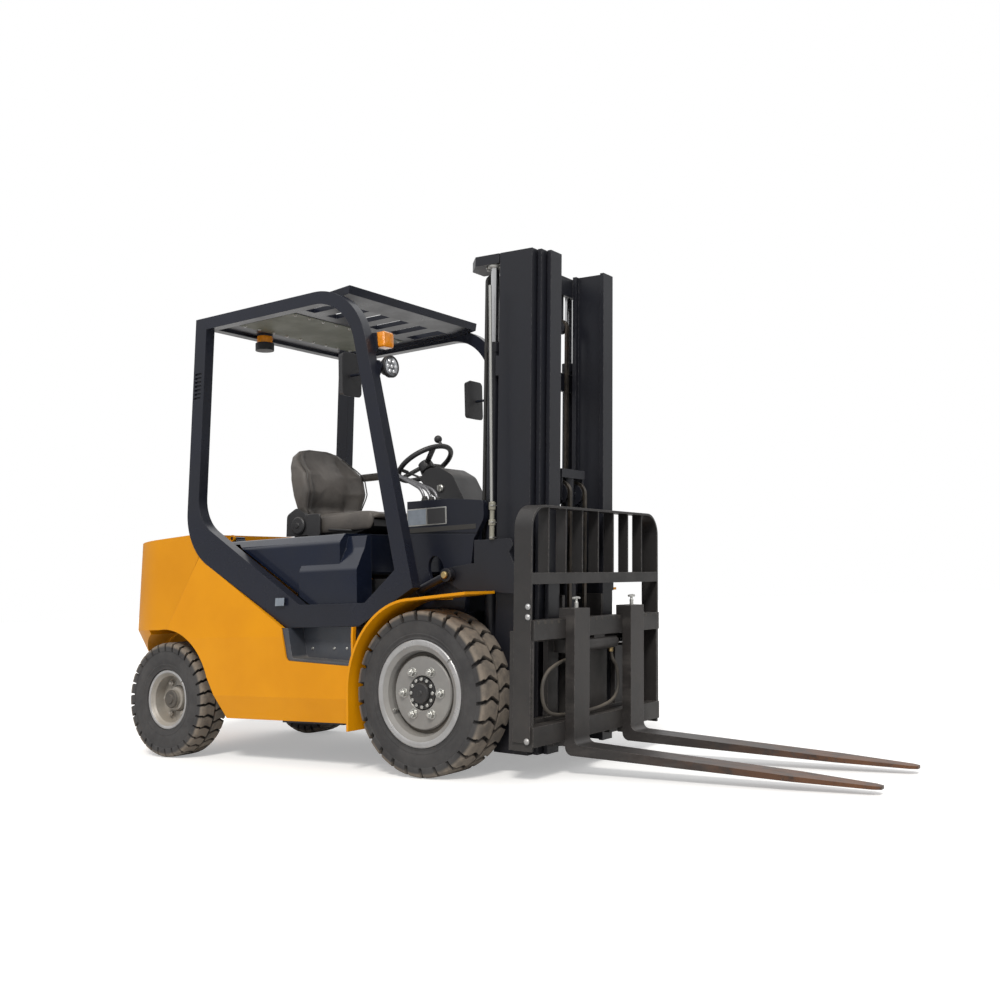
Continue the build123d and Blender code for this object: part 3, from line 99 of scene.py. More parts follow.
@dataclass
class Surface:
    """Points and quads of one or more sheets, gathered before they become one mesh."""

    points: list[Array] = field(default_factory=list)
    quads: list[Array] = field(default_factory=list)
    count: int = 0

    def add_grid(self, grid: Array, close_rows: bool = False, close_columns: bool = False) -> "Surface":
        """Adds a sheet whose neighbouring rows and columns are joined by quads.

        Args:
            grid: Rows by columns by 3 points.
            close_rows: Whether the last row joins the first.
            close_columns: Whether the last column joins the first.

        Returns:
            This surface.
        """
        rows, columns = grid.shape[:2]
        index = np.arange(rows * columns).reshape(rows, columns) + self.count
        if close_rows:
            index = np.vstack([index, index[:1]])
        if close_columns:
            index = np.hstack([index, index[:, :1]])
        corners = [index[:-1, :-1], index[:-1, 1:], index[1:, 1:], index[1:, :-1]]
        self.quads.append(np.stack(corners, -1).reshape(-1, 4))
        self.points.append(grid.reshape(-1, 3))
        self.count += rows * columns
        return self

    def add_copies(self, other: "Surface", origins: Array, frames: Array) -> "Surface":
        """Adds one copy of another surface for each origin and frame.

        A copied point is its origin plus the sum of its coordinates times the frame's rows.

        Args:
            other: The surface to repeat.
            origins: Copies by 3 places.
            frames: Copies by 3 by 3, or one 3 by 3 for all of them.

        Returns:
            This surface.
        """
        points, quads = other.arrays()
        origins = np.atleast_2d(np.asarray(origins, float))
        frames = np.broadcast_to(frames, (len(origins), 3, 3))
        placed = origins[:, None, :] + np.einsum("pk,nkj->npj", points, frames)
        steps = np.arange(len(origins))[:, None, None] * len(points) + self.count
        self.points.append(placed.reshape(-1, 3))
        self.quads.append((quads[None] + steps).reshape(-1, 4))
        self.count += placed.shape[0] * placed.shape[1]
        return self

    def arrays(self) -> tuple[Array, Array]:
        """Gives all points and all quads."""
        return np.concatenate(self.points), np.concatenate(self.quads)


def frame_of(out: Point, up: Point = (0, 0, 1)) -> Array:
    """Makes a frame whose third row points outwards.

    Args:
        out: Direction of the local third axis.
        up: A direction near the local second axis.

    Returns:
        A 3 by 3 array, one axis a row.
    """
    third = np.asarray(out, float) / np.linalg.norm(out)
    first = np.cross(up, third)
    first = first / np.linalg.norm(first)
    return np.stack([first, np.cross(third, first), third])


def place(points: Array, origin: Point, frame: Array) -> Array:
    """Moves local points into the row frame: origin plus coordinates times the frame's rows."""
    return np.asarray(origin, float) + points @ frame


def on_side(point: Point, side: int) -> Array:
    """Puts a place given for the left side on the side wanted, minus one for the right."""
    return np.array([point[0], side * point[1], point[2]], float)


def split_ring(section: Array, first: float, gap: float, segments: int = 96) -> Array:
    """Turns a closed section about the local third axis and leaves a gap, both ends closed.

    Args:
        section: Pairs of radius and height, counter-clockwise.
        first: Angle of the gap's middle.
        gap: Angle of the gap.
        segments: Rings along the sweep.

    Returns:
        Section points by rings by 3, to be joined with close_rows.
    """
    ring = lathe(section, segments, first + gap / 2, FULL_TURN - gap)
    ends = [np.broadcast_to(ring[:, side].mean(0), (len(ring), 1, 3)) for side in (0, -1)]
    return np.concatenate([ends[0], ring, ends[1]], axis=1)


def pillow(outline: Array, middle: Point, depth: Callable[[Array, Array], tuple[Array, Array]],
           rows: int = 44, edge: float = 0.42) -> Array:
    """Swells a flat outline into a closed cushion.

    Rows run from the middle of the underside over the rim to the middle of the face. At angle t
    the outline is scaled by (sin t) to the power edge, and the depth goes from low to high as
    (1 - cos t) / 2 pushed towards both faces by the same power.

    Args:
        outline: Points by 2, counter-clockwise.
        middle: The outline's middle.
        depth: Gives the low and the high depth at places of the outline's plane.
        rows: Rows from middle to middle.
        edge: Squareness of the rim, smaller for squarer.

    Returns:
        Rows by outline points by 3: the two places in the plane, then the depth.
    """
    turn = np.linspace(0, math.pi, rows)[:, None]
    scale = np.sin(turn) ** edge
    push = np.sign(-np.cos(turn)) * np.abs(np.cos(turn)) ** edge
    flat = np.asarray(middle)[None, None] + (outline - middle)[None] * scale[..., None]
    low, high = depth(flat[..., 0], flat[..., 1])
    level = (low + high) / 2 + push * (high - low) / 2
    return np.concatenate([flat, level[..., None]], -1)


def lathe(profile: Array, segments: int = 48, first: float = 0.0, sweep: float = FULL_TURN) -> Array:
    """Turns a profile about the local third axis.

    Each (r, h) pair becomes the ring of points (r cos t, r sin t, h).

    Args:
        profile: Pairs of radius and height.
        segments: Points in each ring.
        first: Angle of the first point.
        sweep: Angle covered, a full turn leaving the closing point out.

    Returns:
        Rings by segments by 3 points.
    """
    profile = np.asarray(profile, float)
    closed = abs(sweep - FULL_TURN) < 1e-9
    angle = first + np.linspace(0, sweep, segments, endpoint=not closed)
    radius, height = profile[:, :1], profile[:, 1:]
    return np.stack([radius * np.cos(angle), radius * np.sin(angle), height + 0 * angle], -1)


def rounded_outline(half_x: float, half_y: float, radius: float, steps: int = 5) -> Array:
    """Gives the outline of a rounded rectangle, four quarter circles about its inset corners.

    Args:
        half_x: Half of its width.
        half_y: Half of its height.
        radius: Corner radius.
        steps: Points in each quarter.

    Returns:
        Points by 2, counter-clockwise.
    """
    turn = np.linspace(0, math.pi / 2, steps)
    quarter = np.arange(4)[:, None] * math.pi / 2 + turn
    corner_x = (half_x - radius) * np.array([1, -1, -1, 1])[:, None]
    corner_y = (half_y - radius) * np.array([1, 1, -1, -1])[:, None]
    return np.stack([corner_x + radius * np.cos(quarter), corner_y + radius * np.sin(quarter)],
                    -1).reshape(-1, 2)


def slab(outline: Array, low: float, high: float, bevel: float = 0.0, crown: float = 0.0) -> Array:
    """Stands a flat outline up into a closed plate with bevelled rims.

    Rows run from the middle of the underside over the rim to the middle of the top: each is the
    outline scaled about its middle, the rim rows by one minus bevel over its mean radius.

    Args:
        outline: Points by 2, counter-clockwise.
        low: Height of the underside.
        high: Height of the top.
        bevel: Width of the rims' bevel.
        crown: Rise of the top's middle above its rim.

    Returns:
        Rows by outline points by 3.
    """
    outline = np.asarray(outline, float)
    middle = outline.mean(0)
    reach = np.linalg.norm(outline - middle, axis=1).mean()
    inset = 1 - bevel / reach
    rows = [(0, low), (inset, low), (1, low + bevel), (1, high - bevel), (inset, high),
            (inset * 0.6, high + 0.7 * crown), (0, high + crown)]
    scale, height = np.array(rows, float).T
    flat = middle + (outline - middle)[None] * scale[:, None, None]
    return np.concatenate([flat, np.broadcast_to(height[:, None, None], (*flat.shape[:2], 1))], -1)


def tube(path: Array, radius: float | Array, sides: int = 12, ends: bool = True) -> Array:
    """Carries a circle along a path.

    At each path point the ring lies in the plane square to the path, on two axes that are turned
    as little as possible from one point to the next.

    Args:
        path: Points by 3.
        radius: The tube's radius, one value or one for each point.
        sides: Points in each ring.
        ends: Whether both ends are closed by rings of no size.

    Returns:
        Rings by sides by 3 points.
    """
    path = np.asarray(path, float)
    tangent = np.gradient(path, axis=0)
    tangent /= np.linalg.norm(tangent, axis=1)[:, None]
    normal = np.zeros_like(tangent)
    start = np.array([0.0, 0.0, 1.0]) if abs(tangent[0, 2]) < 0.9 else np.array([0.0, 1.0, 0.0])
    normal[0] = np.cross(tangent[0], start)
    normal[0] /= np.linalg.norm(normal[0])
    for index in range(1, len(path)):
        carried = normal[index - 1] - tangent[index] * (normal[index - 1] @ tangent[index])
        normal[index] = carried / np.linalg.norm(carried)
    binormal = np.cross(tangent, normal)
    size = np.broadcast_to(radius, len(path)).astype(float)
    if ends:
        path = np.vstack([path[:1], path, path[-1:]])
        normal = np.vstack([normal[:1], normal, normal[-1:]])
        binormal = np.vstack([binormal[:1], binormal, binormal[-1:]])
        size = np.concatenate([[0.0], size, [0.0]])
    angle = np.linspace(0, FULL_TURN, sides, endpoint=False)
    ring = normal[:, None] * np.cos(angle)[:, None] + binormal[:, None] * np.sin(angle)[:, None]
    return path[:, None] + size[:, None, None] * ring


def hexagon(across: float) -> Array:
    """Gives a hexagon's corners and edge middles, across its flats."""
    angle = np.arange(12) * math.pi / 6
    radius = np.where(np.arange(12) % 2 == 0, across / math.sqrt(3), across / 2)
    return np.stack([radius * np.cos(angle), radius * np.sin(angle)], -1)


def nut(across: float, height: float, washer: float = 0.0, stud: float = 0.0) -> Surface:
    """A hexagon nut or bolt head on its washer, standing on local height nought.

    Args:
        across: Size across the flats.
        height: Height of the head.
        washer: Radius of the washer, or nought.
        stud: How far a stud stands out of the nut, or nought.

    Returns:
        The surface.
    """
    base = 0.12 * across if washer else 0.0
    surface = Surface().add_grid(slab(hexagon(across), base, base + height, 0.07 * across, 0.03 * across),
                                 close_columns=True)
    if washer:
        profile = [(0, -0.3 * base), (washer, -0.3 * base), (washer, 0.7 * base), (0.93 * washer, base),
                   (0, base)]
        surface.add_grid(lathe(profile, 24), close_columns=True)
    if stud:
        top = base + height + stud
        radius = 0.3 * across
        profile = [(0, base), (radius, base), (radius, top - 0.2 * radius), (0.8 * radius, top), (0, top)]
        surface.add_grid(lathe(profile, 16), close_columns=True)
    return surface


def make_mesh(name: str, surface: Surface, sharp: float = 32.0) -> bpy.types.Object:
    """Makes a closed mesh, in metres, of a surface in millimetres, its faces pointing outwards.

    Args:
        name: Name of the piece.
        surface: Its points and quads.
        sharp: Angle in degrees past which an edge is shaded sharp.

    Returns:
        The new object, linked to the scene.
    """
    points, quads = surface.arrays()
    mesh = bpy.data.meshes.new(name)
    mesh.from_pydata((points * MM).tolist(), [], quads.tolist())
    shell = bmesh.new()
    shell.from_mesh(mesh)
    bmesh.ops.remove_doubles(shell, verts=shell.verts, dist=1e-6)
    bmesh.ops.dissolve_degenerate(shell, dist=1e-7, edges=shell.edges)
    bmesh.ops.recalc_face_normals(shell, faces=shell.faces)
    shell.to_mesh(mesh)
    shell.free()
    mesh.polygons.foreach_set("use_smooth", [True] * len(mesh.polygons))
    mesh.set_sharp_from_angle(angle=math.radians(sharp))
    piece = bpy.data.objects.new(name, mesh)
    bpy.context.scene.collection.objects.link(piece)
    return piece


# Shader groups, built once and placed in each finish


def put(tree: Tree, kind: str, inputs: dict | None = None, **settings: object) -> Node:
    """Adds a node, sets its properties, and gives its sockets values or links.

    Args:
        tree: The node tree.
        kind: Type of the node.
        inputs: Socket names or numbers, each with a value or another node's output.
        settings: Properties of the node.

    Returns:
        The node.
    """
    node = tree.nodes.new(kind)
    for key, value in settings.items():
        setattr(node, key, value)
    for key, value in (inputs or {}).items():
        if isinstance(value, Socket):
            tree.links.new(value, node.inputs[key])
        else:
            node.inputs[key].default_value = value
    return node


def maths(tree: Tree, operation: str, *values: object, clamp: bool = False) -> Socket:
    """Adds a Math node and gives its result."""
    node = put(tree, "ShaderNodeMath", dict(enumerate(values)), operation=operation, use_clamp=clamp)
    return node.outputs[0]


def ramp(tree: Tree, value: object, low: float, high: float, start: float = 0.0, end: float = 1.0) -> Socket:
    """Adds a smooth step from start at low to end at high."""
    node = put(tree, "ShaderNodeMapRange", {0: value, 1: low, 2: high, 3: start, 4: end},
               interpolation_type="SMOOTHSTEP")
    return node.outputs[0]


def blend_colour(tree: Tree, share: object, first: object, second: object) -> Socket:
    """Adds a colour mix of first and second by share."""
    node = put(tree, "ShaderNodeMix", {0: share, 6: first, 7: second}, data_type="RGBA")
    return node.outputs[2]


def noise(tree: Tree, place_at: object, scale: object, detail: float = 3.0, rough: float = 0.6) -> Socket:
    """Adds a noise value on the given coordinates."""
    node = put(tree, "ShaderNodeTexNoise",
               {"Vector": place_at, "Scale": scale, "Detail": detail, "Roughness": rough})
    return node.outputs["Fac"]


def rgba(colour: RGB) -> tuple[float, float, float, float]:
    """Gives a colour an alpha of one."""
    return (*colour, 1.0)


def new_group(name: str, inputs: dict[str, float], outputs: tuple[str, ...]) -> tuple[Tree, Node, Node]:
    """Starts a shader group with float inputs and float or vector outputs.

    Args:
        name: Name of the group.
        inputs: Names and starting values of its inputs.
        outputs: Names of its outputs. One called Normal is a vector.

    Returns:
        The tree, its input node and its output node.
    """
    tree = bpy.data.node_groups.new(name, "ShaderNodeTree")
    for key, value in inputs.items():
        socket = tree.interface.new_socket(key, in_out="INPUT", socket_type="NodeSocketFloat")
        socket.default_value = value
    for key in outputs:
        kind = "NodeSocketVector" if key == "Normal" else "NodeSocketFloat"
        tree.interface.new_socket(key, in_out="OUTPUT", socket_type=kind)
    return tree, tree.nodes.new("NodeGroupInput"), tree.nodes.new("NodeGroupOutput")


class Effects:
    """The shader groups that several finishes share."""

    def __init__(self) -> None:
        """Builds every group once."""
        self.edges = self.build_edges()
        self.dust = self.build_dust()
        self.mottle = self.build_mottle()
        self.rust = self.build_rust()

    @staticmethod
    def build_edges() -> Tree:
        """Edge wear and painted edge highlight: where a rounded normal leaves the true one, broken up by
        noise.

        Returns:
            The group, with the mask of worn and highlighted edges and the rounded normal.
        """
        tree, start, end = new_group("worn edges", {"Width": 0.003, "Scale": 60.0, "Amount": 0.5},
                                     ("Mask", "Normal"))
        bevel = put(tree, "ShaderNodeBevel", {"Radius": start.outputs["Width"]}, samples=4)
        true = put(tree, "ShaderNodeNewGeometry")
        dot = put(tree, "ShaderNodeVectorMath", {0: bevel.outputs[0], 1: true.outputs["Normal"]},
                  operation="DOT_PRODUCT")
        sharpness = ramp(tree, dot.outputs["Value"], 0.995, 0.88)
        where = put(tree, "ShaderNodeTexCoord").outputs["Object"]
        patch = ramp(tree, noise(tree, where, start.outputs["Scale"], 5.0, 0.7), 0.42, 0.62)
        # Sharp edges: worn paint, and also a painted pale edge highlight.
        worn_and_lit = maths(tree, "MULTIPLY", sharpness, patch)
        tree.links.new(maths(tree, "MULTIPLY", worn_and_lit, start.outputs["Amount"], clamp=True),
                       end.inputs["Mask"])
        tree.links.new(bevel.outputs[0], end.inputs["Normal"])
        return tree

    @staticmethod
    def build_dust() -> Tree:
        """Dust: thicker on faces that look up and near the ground, in soft patches.

        Returns:
            The group, with the dust mask.
        """
        tree, start, end = new_group("settled dust", {"Amount": 0.3, "Height": 0.7, "Scale": 7.0},
                                     ("Mask",))
        coords = put(tree, "ShaderNodeTexCoord")
        split = put(tree, "ShaderNodeSeparateXYZ", {0: coords.outputs["Normal"]})
        upward = ramp(tree, split.outputs["Z"], 0.25, 1.0)
        place_split = put(tree, "ShaderNodeSeparateXYZ", {0: coords.outputs["Object"]})
        ratio = maths(tree, "DIVIDE", place_split.outputs["Z"], start.outputs["Height"])
        low = ramp(tree, ratio, 1.0, 0.1)
        both = maths(tree, "ADD", maths(tree, "MULTIPLY", upward, 0.55), maths(tree, "MULTIPLY", low, 0.6))
        soft = ramp(tree, noise(tree, coords.outputs["Object"], start.outputs["Scale"], 6.0, 0.65), 0.3,
                    0.72, 0.35, 1.0)
        mask = maths(tree, "MULTIPLY", maths(tree, "MULTIPLY", both, soft), start.outputs["Amount"],
                     clamp=True)
        tree.links.new(mask, end.inputs["Mask"])
        return tree

    @staticmethod
    def build_mottle() -> Tree:
        """Unevenness: broad cloudy shading and a fine grain.

        Returns:
            The group, with the cloud value and the grain height.
        """
        tree, start, end = new_group("uneven coat", {"Cloud": 3.0, "Grain": 400.0}, ("Cloud", "Grain"))
        where = put(tree, "ShaderNodeTexCoord").outputs["Object"]
        broad = noise(tree, where, start.outputs["Cloud"], 4.0, 0.6)
        tree.links.new(ramp(tree, broad, 0.3, 0.7), end.inputs["Cloud"])
        tree.links.new(noise(tree, where, start.outputs["Grain"], 2.0, 0.5), end.inputs["Grain"])
        return tree

    @staticmethod
    def build_rust() -> Tree:
        """Rust: blotches with a speckled rim.

        Returns:
            The group, with the rust mask and its shade.
        """
        tree, start, end = new_group("rust bloom", {"Amount": 0.3, "Scale": 9.0}, ("Mask", "Shade"))
        where = put(tree, "ShaderNodeTexCoord").outputs["Object"]
        blotch = noise(tree, where, start.outputs["Scale"], 6.0, 0.7)
        speck = noise(tree, where, maths(tree, "MULTIPLY", start.outputs["Scale"], 14.0), 3.0, 0.6)
        mixed = maths(tree, "ADD", maths(tree, "MULTIPLY", blotch, 0.75),
                      maths(tree, "MULTIPLY", speck, 0.25))
        lowest = maths(tree, "SUBTRACT", 0.72, maths(tree, "MULTIPLY", start.outputs["Amount"], 0.35))
        node = put(tree, "ShaderNodeMapRange", {0: mixed, 1: lowest, 2: maths(tree, "ADD", lowest, 0.12)})
        tree.links.new(node.outputs[0], end.inputs["Mask"])
        tree.links.new(speck, end.inputs["Shade"])
        return tree


def add_group(tree: Tree, group: Tree, **values: object) -> Node:
    """Places a shared group in a material with its own values.

    Args:
        tree: The material's tree.
        group: The shared group.
        values: Values of the group's inputs by name.

    Returns:
        The group's node.
    """
    node = put(tree, "ShaderNodeGroup", node_tree=group)
    for key, value in values.items():
        node.inputs[key].default_value = value
    return node


def start_material(name: str) -> tuple[bpy.types.Material, Tree, Node]:
    """Makes an empty node material.

    Args:
        name: Name of the material.

    Returns:
        The material, its tree and its Principled shader.
    """
    material = bpy.data.materials.new(name)
    material.use_nodes = True
    tree = material.node_tree
    tree.nodes.clear()
    shader = tree.nodes.new("ShaderNodeBsdfPrincipled")
    output = tree.nodes.new("ShaderNodeOutputMaterial")
    tree.links.new(shader.outputs[0], output.inputs["Surface"])
    return material, tree, shader


@dataclass(frozen=True)
class Coat:
    """A coated or uncoated surface, with its wear, painted edge highlight, dust, rust and grain."""

    name: str
    colour: RGB
    shade: RGB
    # Edge colour and amount: worn paint on sharp edges, and also a painted pale edge highlight.
    bare_and_highlight: RGB = (0.32, 0.31, 0.3)
    roughness: float = 0.35
    metallic: float = 0.0
    coat: float = 0.0
    edge_width: float = 0.003
    edge_wear_and_highlight: float = 0.35
    dust: float = 0.2
    dust_height: float = 0.7
    dust_colour: RGB = (0.33, 0.28, 0.22)
    rust: float = 0.0
    rust_colour: RGB = (0.2, 0.085, 0.035)
    cloud_scale: float = 3.0
    grain_scale: float = 350.0
    grain: float = 0.03
    rough_spread: float = 0.12
    specular: float = 0.5

    def build(self, effects: Effects) -> bpy.types.Material:
        """Makes the material.

        Args:
            effects: The shared shader groups.

        Returns:
            The material.
        """
        material, tree, shader = start_material(self.name)
        mottle = add_group(tree, effects.mottle, Cloud=self.cloud_scale, Grain=self.grain_scale)
        edges = add_group(tree, effects.edges, Width=self.edge_width, Amount=self.edge_wear_and_highlight)
        dust = add_group(tree, effects.dust, Amount=self.dust, Height=self.dust_height)
        colour = blend_colour(tree, mottle.outputs["Cloud"], rgba(self.colour), rgba(self.shade))
        # Sharp edges take the edge colour: worn paint and a painted edge highlight.
        colour = blend_colour(tree, edges.outputs["Mask"], colour, rgba(self.bare_and_highlight))
        if self.rust:
            bloom = add_group(tree, effects.rust, Amount=self.rust)
            brown = blend_colour(tree, bloom.outputs["Shade"], rgba(self.rust_colour),
                                 rgba(tuple(0.45 * part for part in self.rust_colour)))
            colour = blend_colour(tree, bloom.outputs["Mask"], colour, brown)
        colour = blend_colour(tree, dust.outputs["Mask"], colour, rgba(self.dust_colour))
        tree.links.new(colour, shader.inputs["Base Color"])
        rough = ramp(tree, mottle.outputs["Cloud"], 0.0, 1.0, self.roughness,
                     self.roughness + self.rough_spread)
        rough = maths(tree, "ADD", rough, maths(tree, "MULTIPLY", dust.outputs["Mask"], 0.45), clamp=True)
        tree.links.new(rough, shader.inputs["Roughness"])
        shader.inputs["Metallic"].default_value = self.metallic
        shader.inputs["Coat Weight"].default_value = self.coat
        shader.inputs["Coat Roughness"].default_value = 0.12
        shader.inputs["Specular IOR Level"].default_value = self.specular
        bump = put(tree, "ShaderNodeBump",
                   {"Strength": self.grain, "Distance": 0.001, "Height": mottle.outputs["Grain"],
                                            "Normal": edges.outputs["Normal"]})
        tree.links.new(bump.outputs[0], shader.inputs["Normal"])
        return material


@dataclass(frozen=True)
class ForkSteel(Coat):
    """Forging steel that rusts and dusts more towards the fork's tip."""

    tip_start: float = 0.9
    tip_end: float = 2.0

    def build(self, effects: Effects) -> bpy.types.Material:
        """Makes the material, with scuffs along the blade and rust by distance forward.

        Args:
            effects: The shared shader groups.

        Returns:
            The material.
        """
        material, tree, shader = start_material(self.name)
        coords = put(tree, "ShaderNodeTexCoord").outputs["Object"]
        split = put(tree, "ShaderNodeSeparateXYZ", {0: coords})
        forward = ramp(tree, split.outputs["X"], self.tip_start, self.tip_end)
        mottle = add_group(tree, effects.mottle, Cloud=self.cloud_scale, Grain=self.grain_scale)
        edges = add_group(tree, effects.edges, Width=self.edge_width, Amount=self.edge_wear_and_highlight)
        bloom = add_group(tree, effects.rust, Amount=0.9)
        streaks = put(tree, "ShaderNodeMapping", {"Vector": coords, "Scale": (3.0, 40.0, 10.0)},
                      vector_type="POINT")
        scuff = ramp(tree, noise(tree, streaks.outputs[0], 2.0, 5.0, 0.7), 0.45, 0.75)
        colour = blend_colour(tree, mottle.outputs["Cloud"], rgba(self.colour), rgba(self.shade))
        colour = blend_colour(tree, maths(tree, "MULTIPLY", scuff, 0.35), colour, rgba(self.dust_colour))
        # Sharp edges take the edge colour: worn steel and a painted edge highlight.
        colour = blend_colour(tree, edges.outputs["Mask"], colour, rgba(self.bare_and_highlight))
        brown = blend_colour(tree, bloom.outputs["Shade"], rgba(self.rust_colour),
                             rgba((0.07, 0.032, 0.017)))
        share = maths(tree, "MULTIPLY", ramp(tree, bloom.outputs["Mask"], 0.0, 1.0, 0.25, 1.0), forward)
        colour = blend_colour(tree, share, colour, brown)
        tree.links.new(colour, shader.inputs["Base Color"])
        tree.links.new(ramp(tree, scuff, 0.0, 1.0, self.roughness, self.roughness + 0.25),
                       shader.inputs["Roughness"])
        shader.inputs["Metallic"].default_value = self.metallic
        bump = put(tree, "ShaderNodeBump",
                   {"Strength": 0.25, "Distance": 0.001, "Height": bloom.outputs["Shade"],
                                            "Normal": edges.outputs["Normal"]})
        tree.links.new(bump.outputs[0], shader.inputs["Normal"])
        return material


@dataclass(frozen=True)
class TyreRubber:
    """Tyre rubber, dusty where the mesh says the tread has rolled on the ground, with painted shade in the
    grooves.
    """

    name: str = "dusty tyre rubber"
    colour: RGB = (0.034, 0.033, 0.034)
    side: RGB = (0.052, 0.05, 0.05)
    dust: RGB = (0.2, 0.168, 0.135)
    # Darker colour painted in the grooves as their shade.
    groove_shade: RGB = (0.012, 0.011, 0.011)

    def build(self, effects: Effects) -> bpy.types.Material:
        """Makes the material. The mesh gives tread, one on lug tops, and groove_shade, one in grooves, where
        a darker colour is painted as shade.

        Args:
            effects: The shared shader groups.

        Returns:
            The material.
        """
        material, tree, shader = start_material(self.name)
        where = put(tree, "ShaderNodeTexCoord").outputs["Object"]
        mottle = add_group(tree, effects.mottle, Cloud=9.0, Grain=260.0)
        tread = put(tree, "ShaderNodeAttribute", attribute_name="tread").outputs["Fac"]
        groove_shade = put(tree, "ShaderNodeAttribute", attribute_name="groove_shade").outputs["Fac"]
        patch = ramp(tree, noise(tree, where, 16.0, 6.0, 0.7), 0.32, 0.62, 0.45, 1.0)
        colour = blend_colour(tree, mottle.outputs["Cloud"], rgba(self.colour), rgba(self.side))
        colour = blend_colour(tree, maths(tree, "MULTIPLY", tread, patch), colour, rgba(self.dust))
        # Painted shade: the grooves are darkened towards the groove_shade colour.
        colour = blend_colour(tree, maths(tree, "MULTIPLY", groove_shade, 0.8), colour, rgba(self.groove_shade))
        tree.links.new(colour, shader.inputs["Base Color"])
        tree.links.new(ramp(tree, patch, 0.0, 1.0, 0.62, 0.9), shader.inputs["Roughness"])
        bump = put(tree, "ShaderNodeBump",
                   {"Strength": 0.25, "Distance": 0.001, "Height": mottle.outputs["Grain"]})
        tree.links.new(bump.outputs[0], shader.inputs["Normal"])
        return material


@dataclass(frozen=True)
class Vinyl:
    """Moulded seat vinyl with a leather grain."""

    name: str = "seat vinyl"
    colour: RGB = (0.1, 0.088, 0.078)
    shade: RGB = (0.066, 0.06, 0.056)
    dust: RGB = (0.26, 0.23, 0.2)
    cell_scale: float = 420.0

    def build(self, effects: Effects) -> bpy.types.Material:
        """Makes the material: cells of grain, cloudy colour and dust on what looks up.

        Args:
            effects: The shared shader groups.

        Returns:
            The material.
        """
        material, tree, shader = start_material(self.name)
        where = put(tree, "ShaderNodeTexCoord").outputs["Object"]
        cells = put(tree, "ShaderNodeTexVoronoi", {"Vector": where, "Scale": self.cell_scale},
                    feature="DISTANCE_TO_EDGE")
        mottle = add_group(tree, effects.mottle, Cloud=6.0, Grain=900.0)
        dust = add_group(tree, effects.dust, Amount=0.28, Height=0.3)
        colour = blend_colour(tree, mottle.outputs["Cloud"], rgba(self.colour), rgba(self.shade))
        colour = blend_colour(tree, dust.outputs["Mask"], colour, rgba(self.dust))
        tree.links.new(colour, shader.inputs["Base Color"])
        tree.links.new(ramp(tree, mottle.outputs["Cloud"], 0.0, 1.0, 0.46, 0.62),
                       shader.inputs["Roughness"])
        height = ramp(tree, cells.outputs["Distance"], 0.0, 0.12)
        bump = put(tree, "ShaderNodeBump", {"Strength": 0.3, "Distance": 0.0006, "Height": height})
        tree.links.new(bump.outputs[0], shader.inputs["Normal"])
        return material


@dataclass(frozen=True)
class Lens:
    """A moulded lamp lens or mirror glass."""

    name: str
    colour: RGB
    roughness: float = 0.08
    metallic: float = 0.0
    glow: float = 0.0
    ribs: float = 0.0

    def build(self, effects: Effects) -> bpy.types.Material:
        """Makes the material, ribbed by a wave where ribs is set.

        Args:
            effects: The shared shader groups.

        Returns:
            The material.
        """
        material, tree, shader = start_material(self.name)
        mottle = add_group(tree, effects.mottle, Cloud=30.0, Grain=500.0)
        darker = tuple(0.75 * part for part in self.colour)
        tree.links.new(blend_colour(tree, mottle.outputs["Cloud"], rgba(self.colour), rgba(darker)),
                       shader.inputs["Base Color"])
        shader.inputs["Roughness"].default_value = self.roughness
        shader.inputs["Metallic"].default_value = self.metallic
        shader.inputs["Coat Weight"].default_value = 0.6
        if self.glow:
            shader.inputs["Emission Color"].default_value = rgba(self.colour)
            shader.inputs["Emission Strength"].default_value = self.glow
        if self.ribs:
            where = put(tree, "ShaderNodeTexCoord").outputs["Object"]
            wave = put(tree, "ShaderNodeTexWave", {"Vector": where, "Scale": self.ribs},
                       bands_direction="Z")
            bump = put(tree, "ShaderNodeBump",
                       {"Strength": 0.5, "Distance": 0.001, "Height": wave.outputs["Fac"]})
            tree.links.new(bump.outputs[0], shader.inputs["Normal"])
        return material


YELLOW = Coat("yellow enamel", (0.7, 0.285, 0.0015), (0.63, 0.245, 0.001), bare_and_highlight=(0.5, 0.3, 0.05),
              roughness=0.32, coat=0.04, edge_wear_and_highlight=0.2, dust=0.05, dust_height=0.5,
              dust_colour=(0.3, 0.16, 0.03), cloud_scale=1.6, grain=0.05, specular=0.18)
CAST_YELLOW = Coat("yellow casting enamel", (0.66, 0.265, 0.0015), (0.58, 0.225, 0.001),
                   bare_and_highlight=(0.5, 0.3, 0.05), roughness=0.4, coat=0.03, edge_wear_and_highlight=0.15, dust=0.05,
                   dust_colour=(0.3, 0.16, 0.03), cloud_scale=1.2, grain_scale=120.0, grain=0.12,
                   specular=0.18)
NAVY = Coat("black-navy enamel", (0.011, 0.013, 0.023), (0.008, 0.0095, 0.016), bare_and_highlight=(0.07, 0.072, 0.085),
            roughness=0.26, coat=0.08, edge_wear_and_highlight=0.4, dust=0.05, dust_height=0.5,
            dust_colour=(0.1, 0.095, 0.1), grain=0.05, specular=0.32)
HOOD = Coat("gloss hood enamel", (0.009, 0.013, 0.028), (0.007, 0.01, 0.021), bare_and_highlight=(0.07, 0.075, 0.09),
            roughness=0.12, coat=0.3, edge_wear_and_highlight=0.3, dust=0.02, dust_height=0.5,
            dust_colour=(0.1, 0.095, 0.1), grain=0.02, specular=0.3)
MAST = Coat("mast enamel", (0.0125, 0.0135, 0.019), (0.0095, 0.01, 0.014), bare_and_highlight=(0.14, 0.135, 0.135),
            roughness=0.34, coat=0.05, edge_wear_and_highlight=0.6, dust=0.08, dust_height=1.0,
            dust_colour=(0.16, 0.14, 0.12), rust=0.04, grain=0.08, specular=0.35)
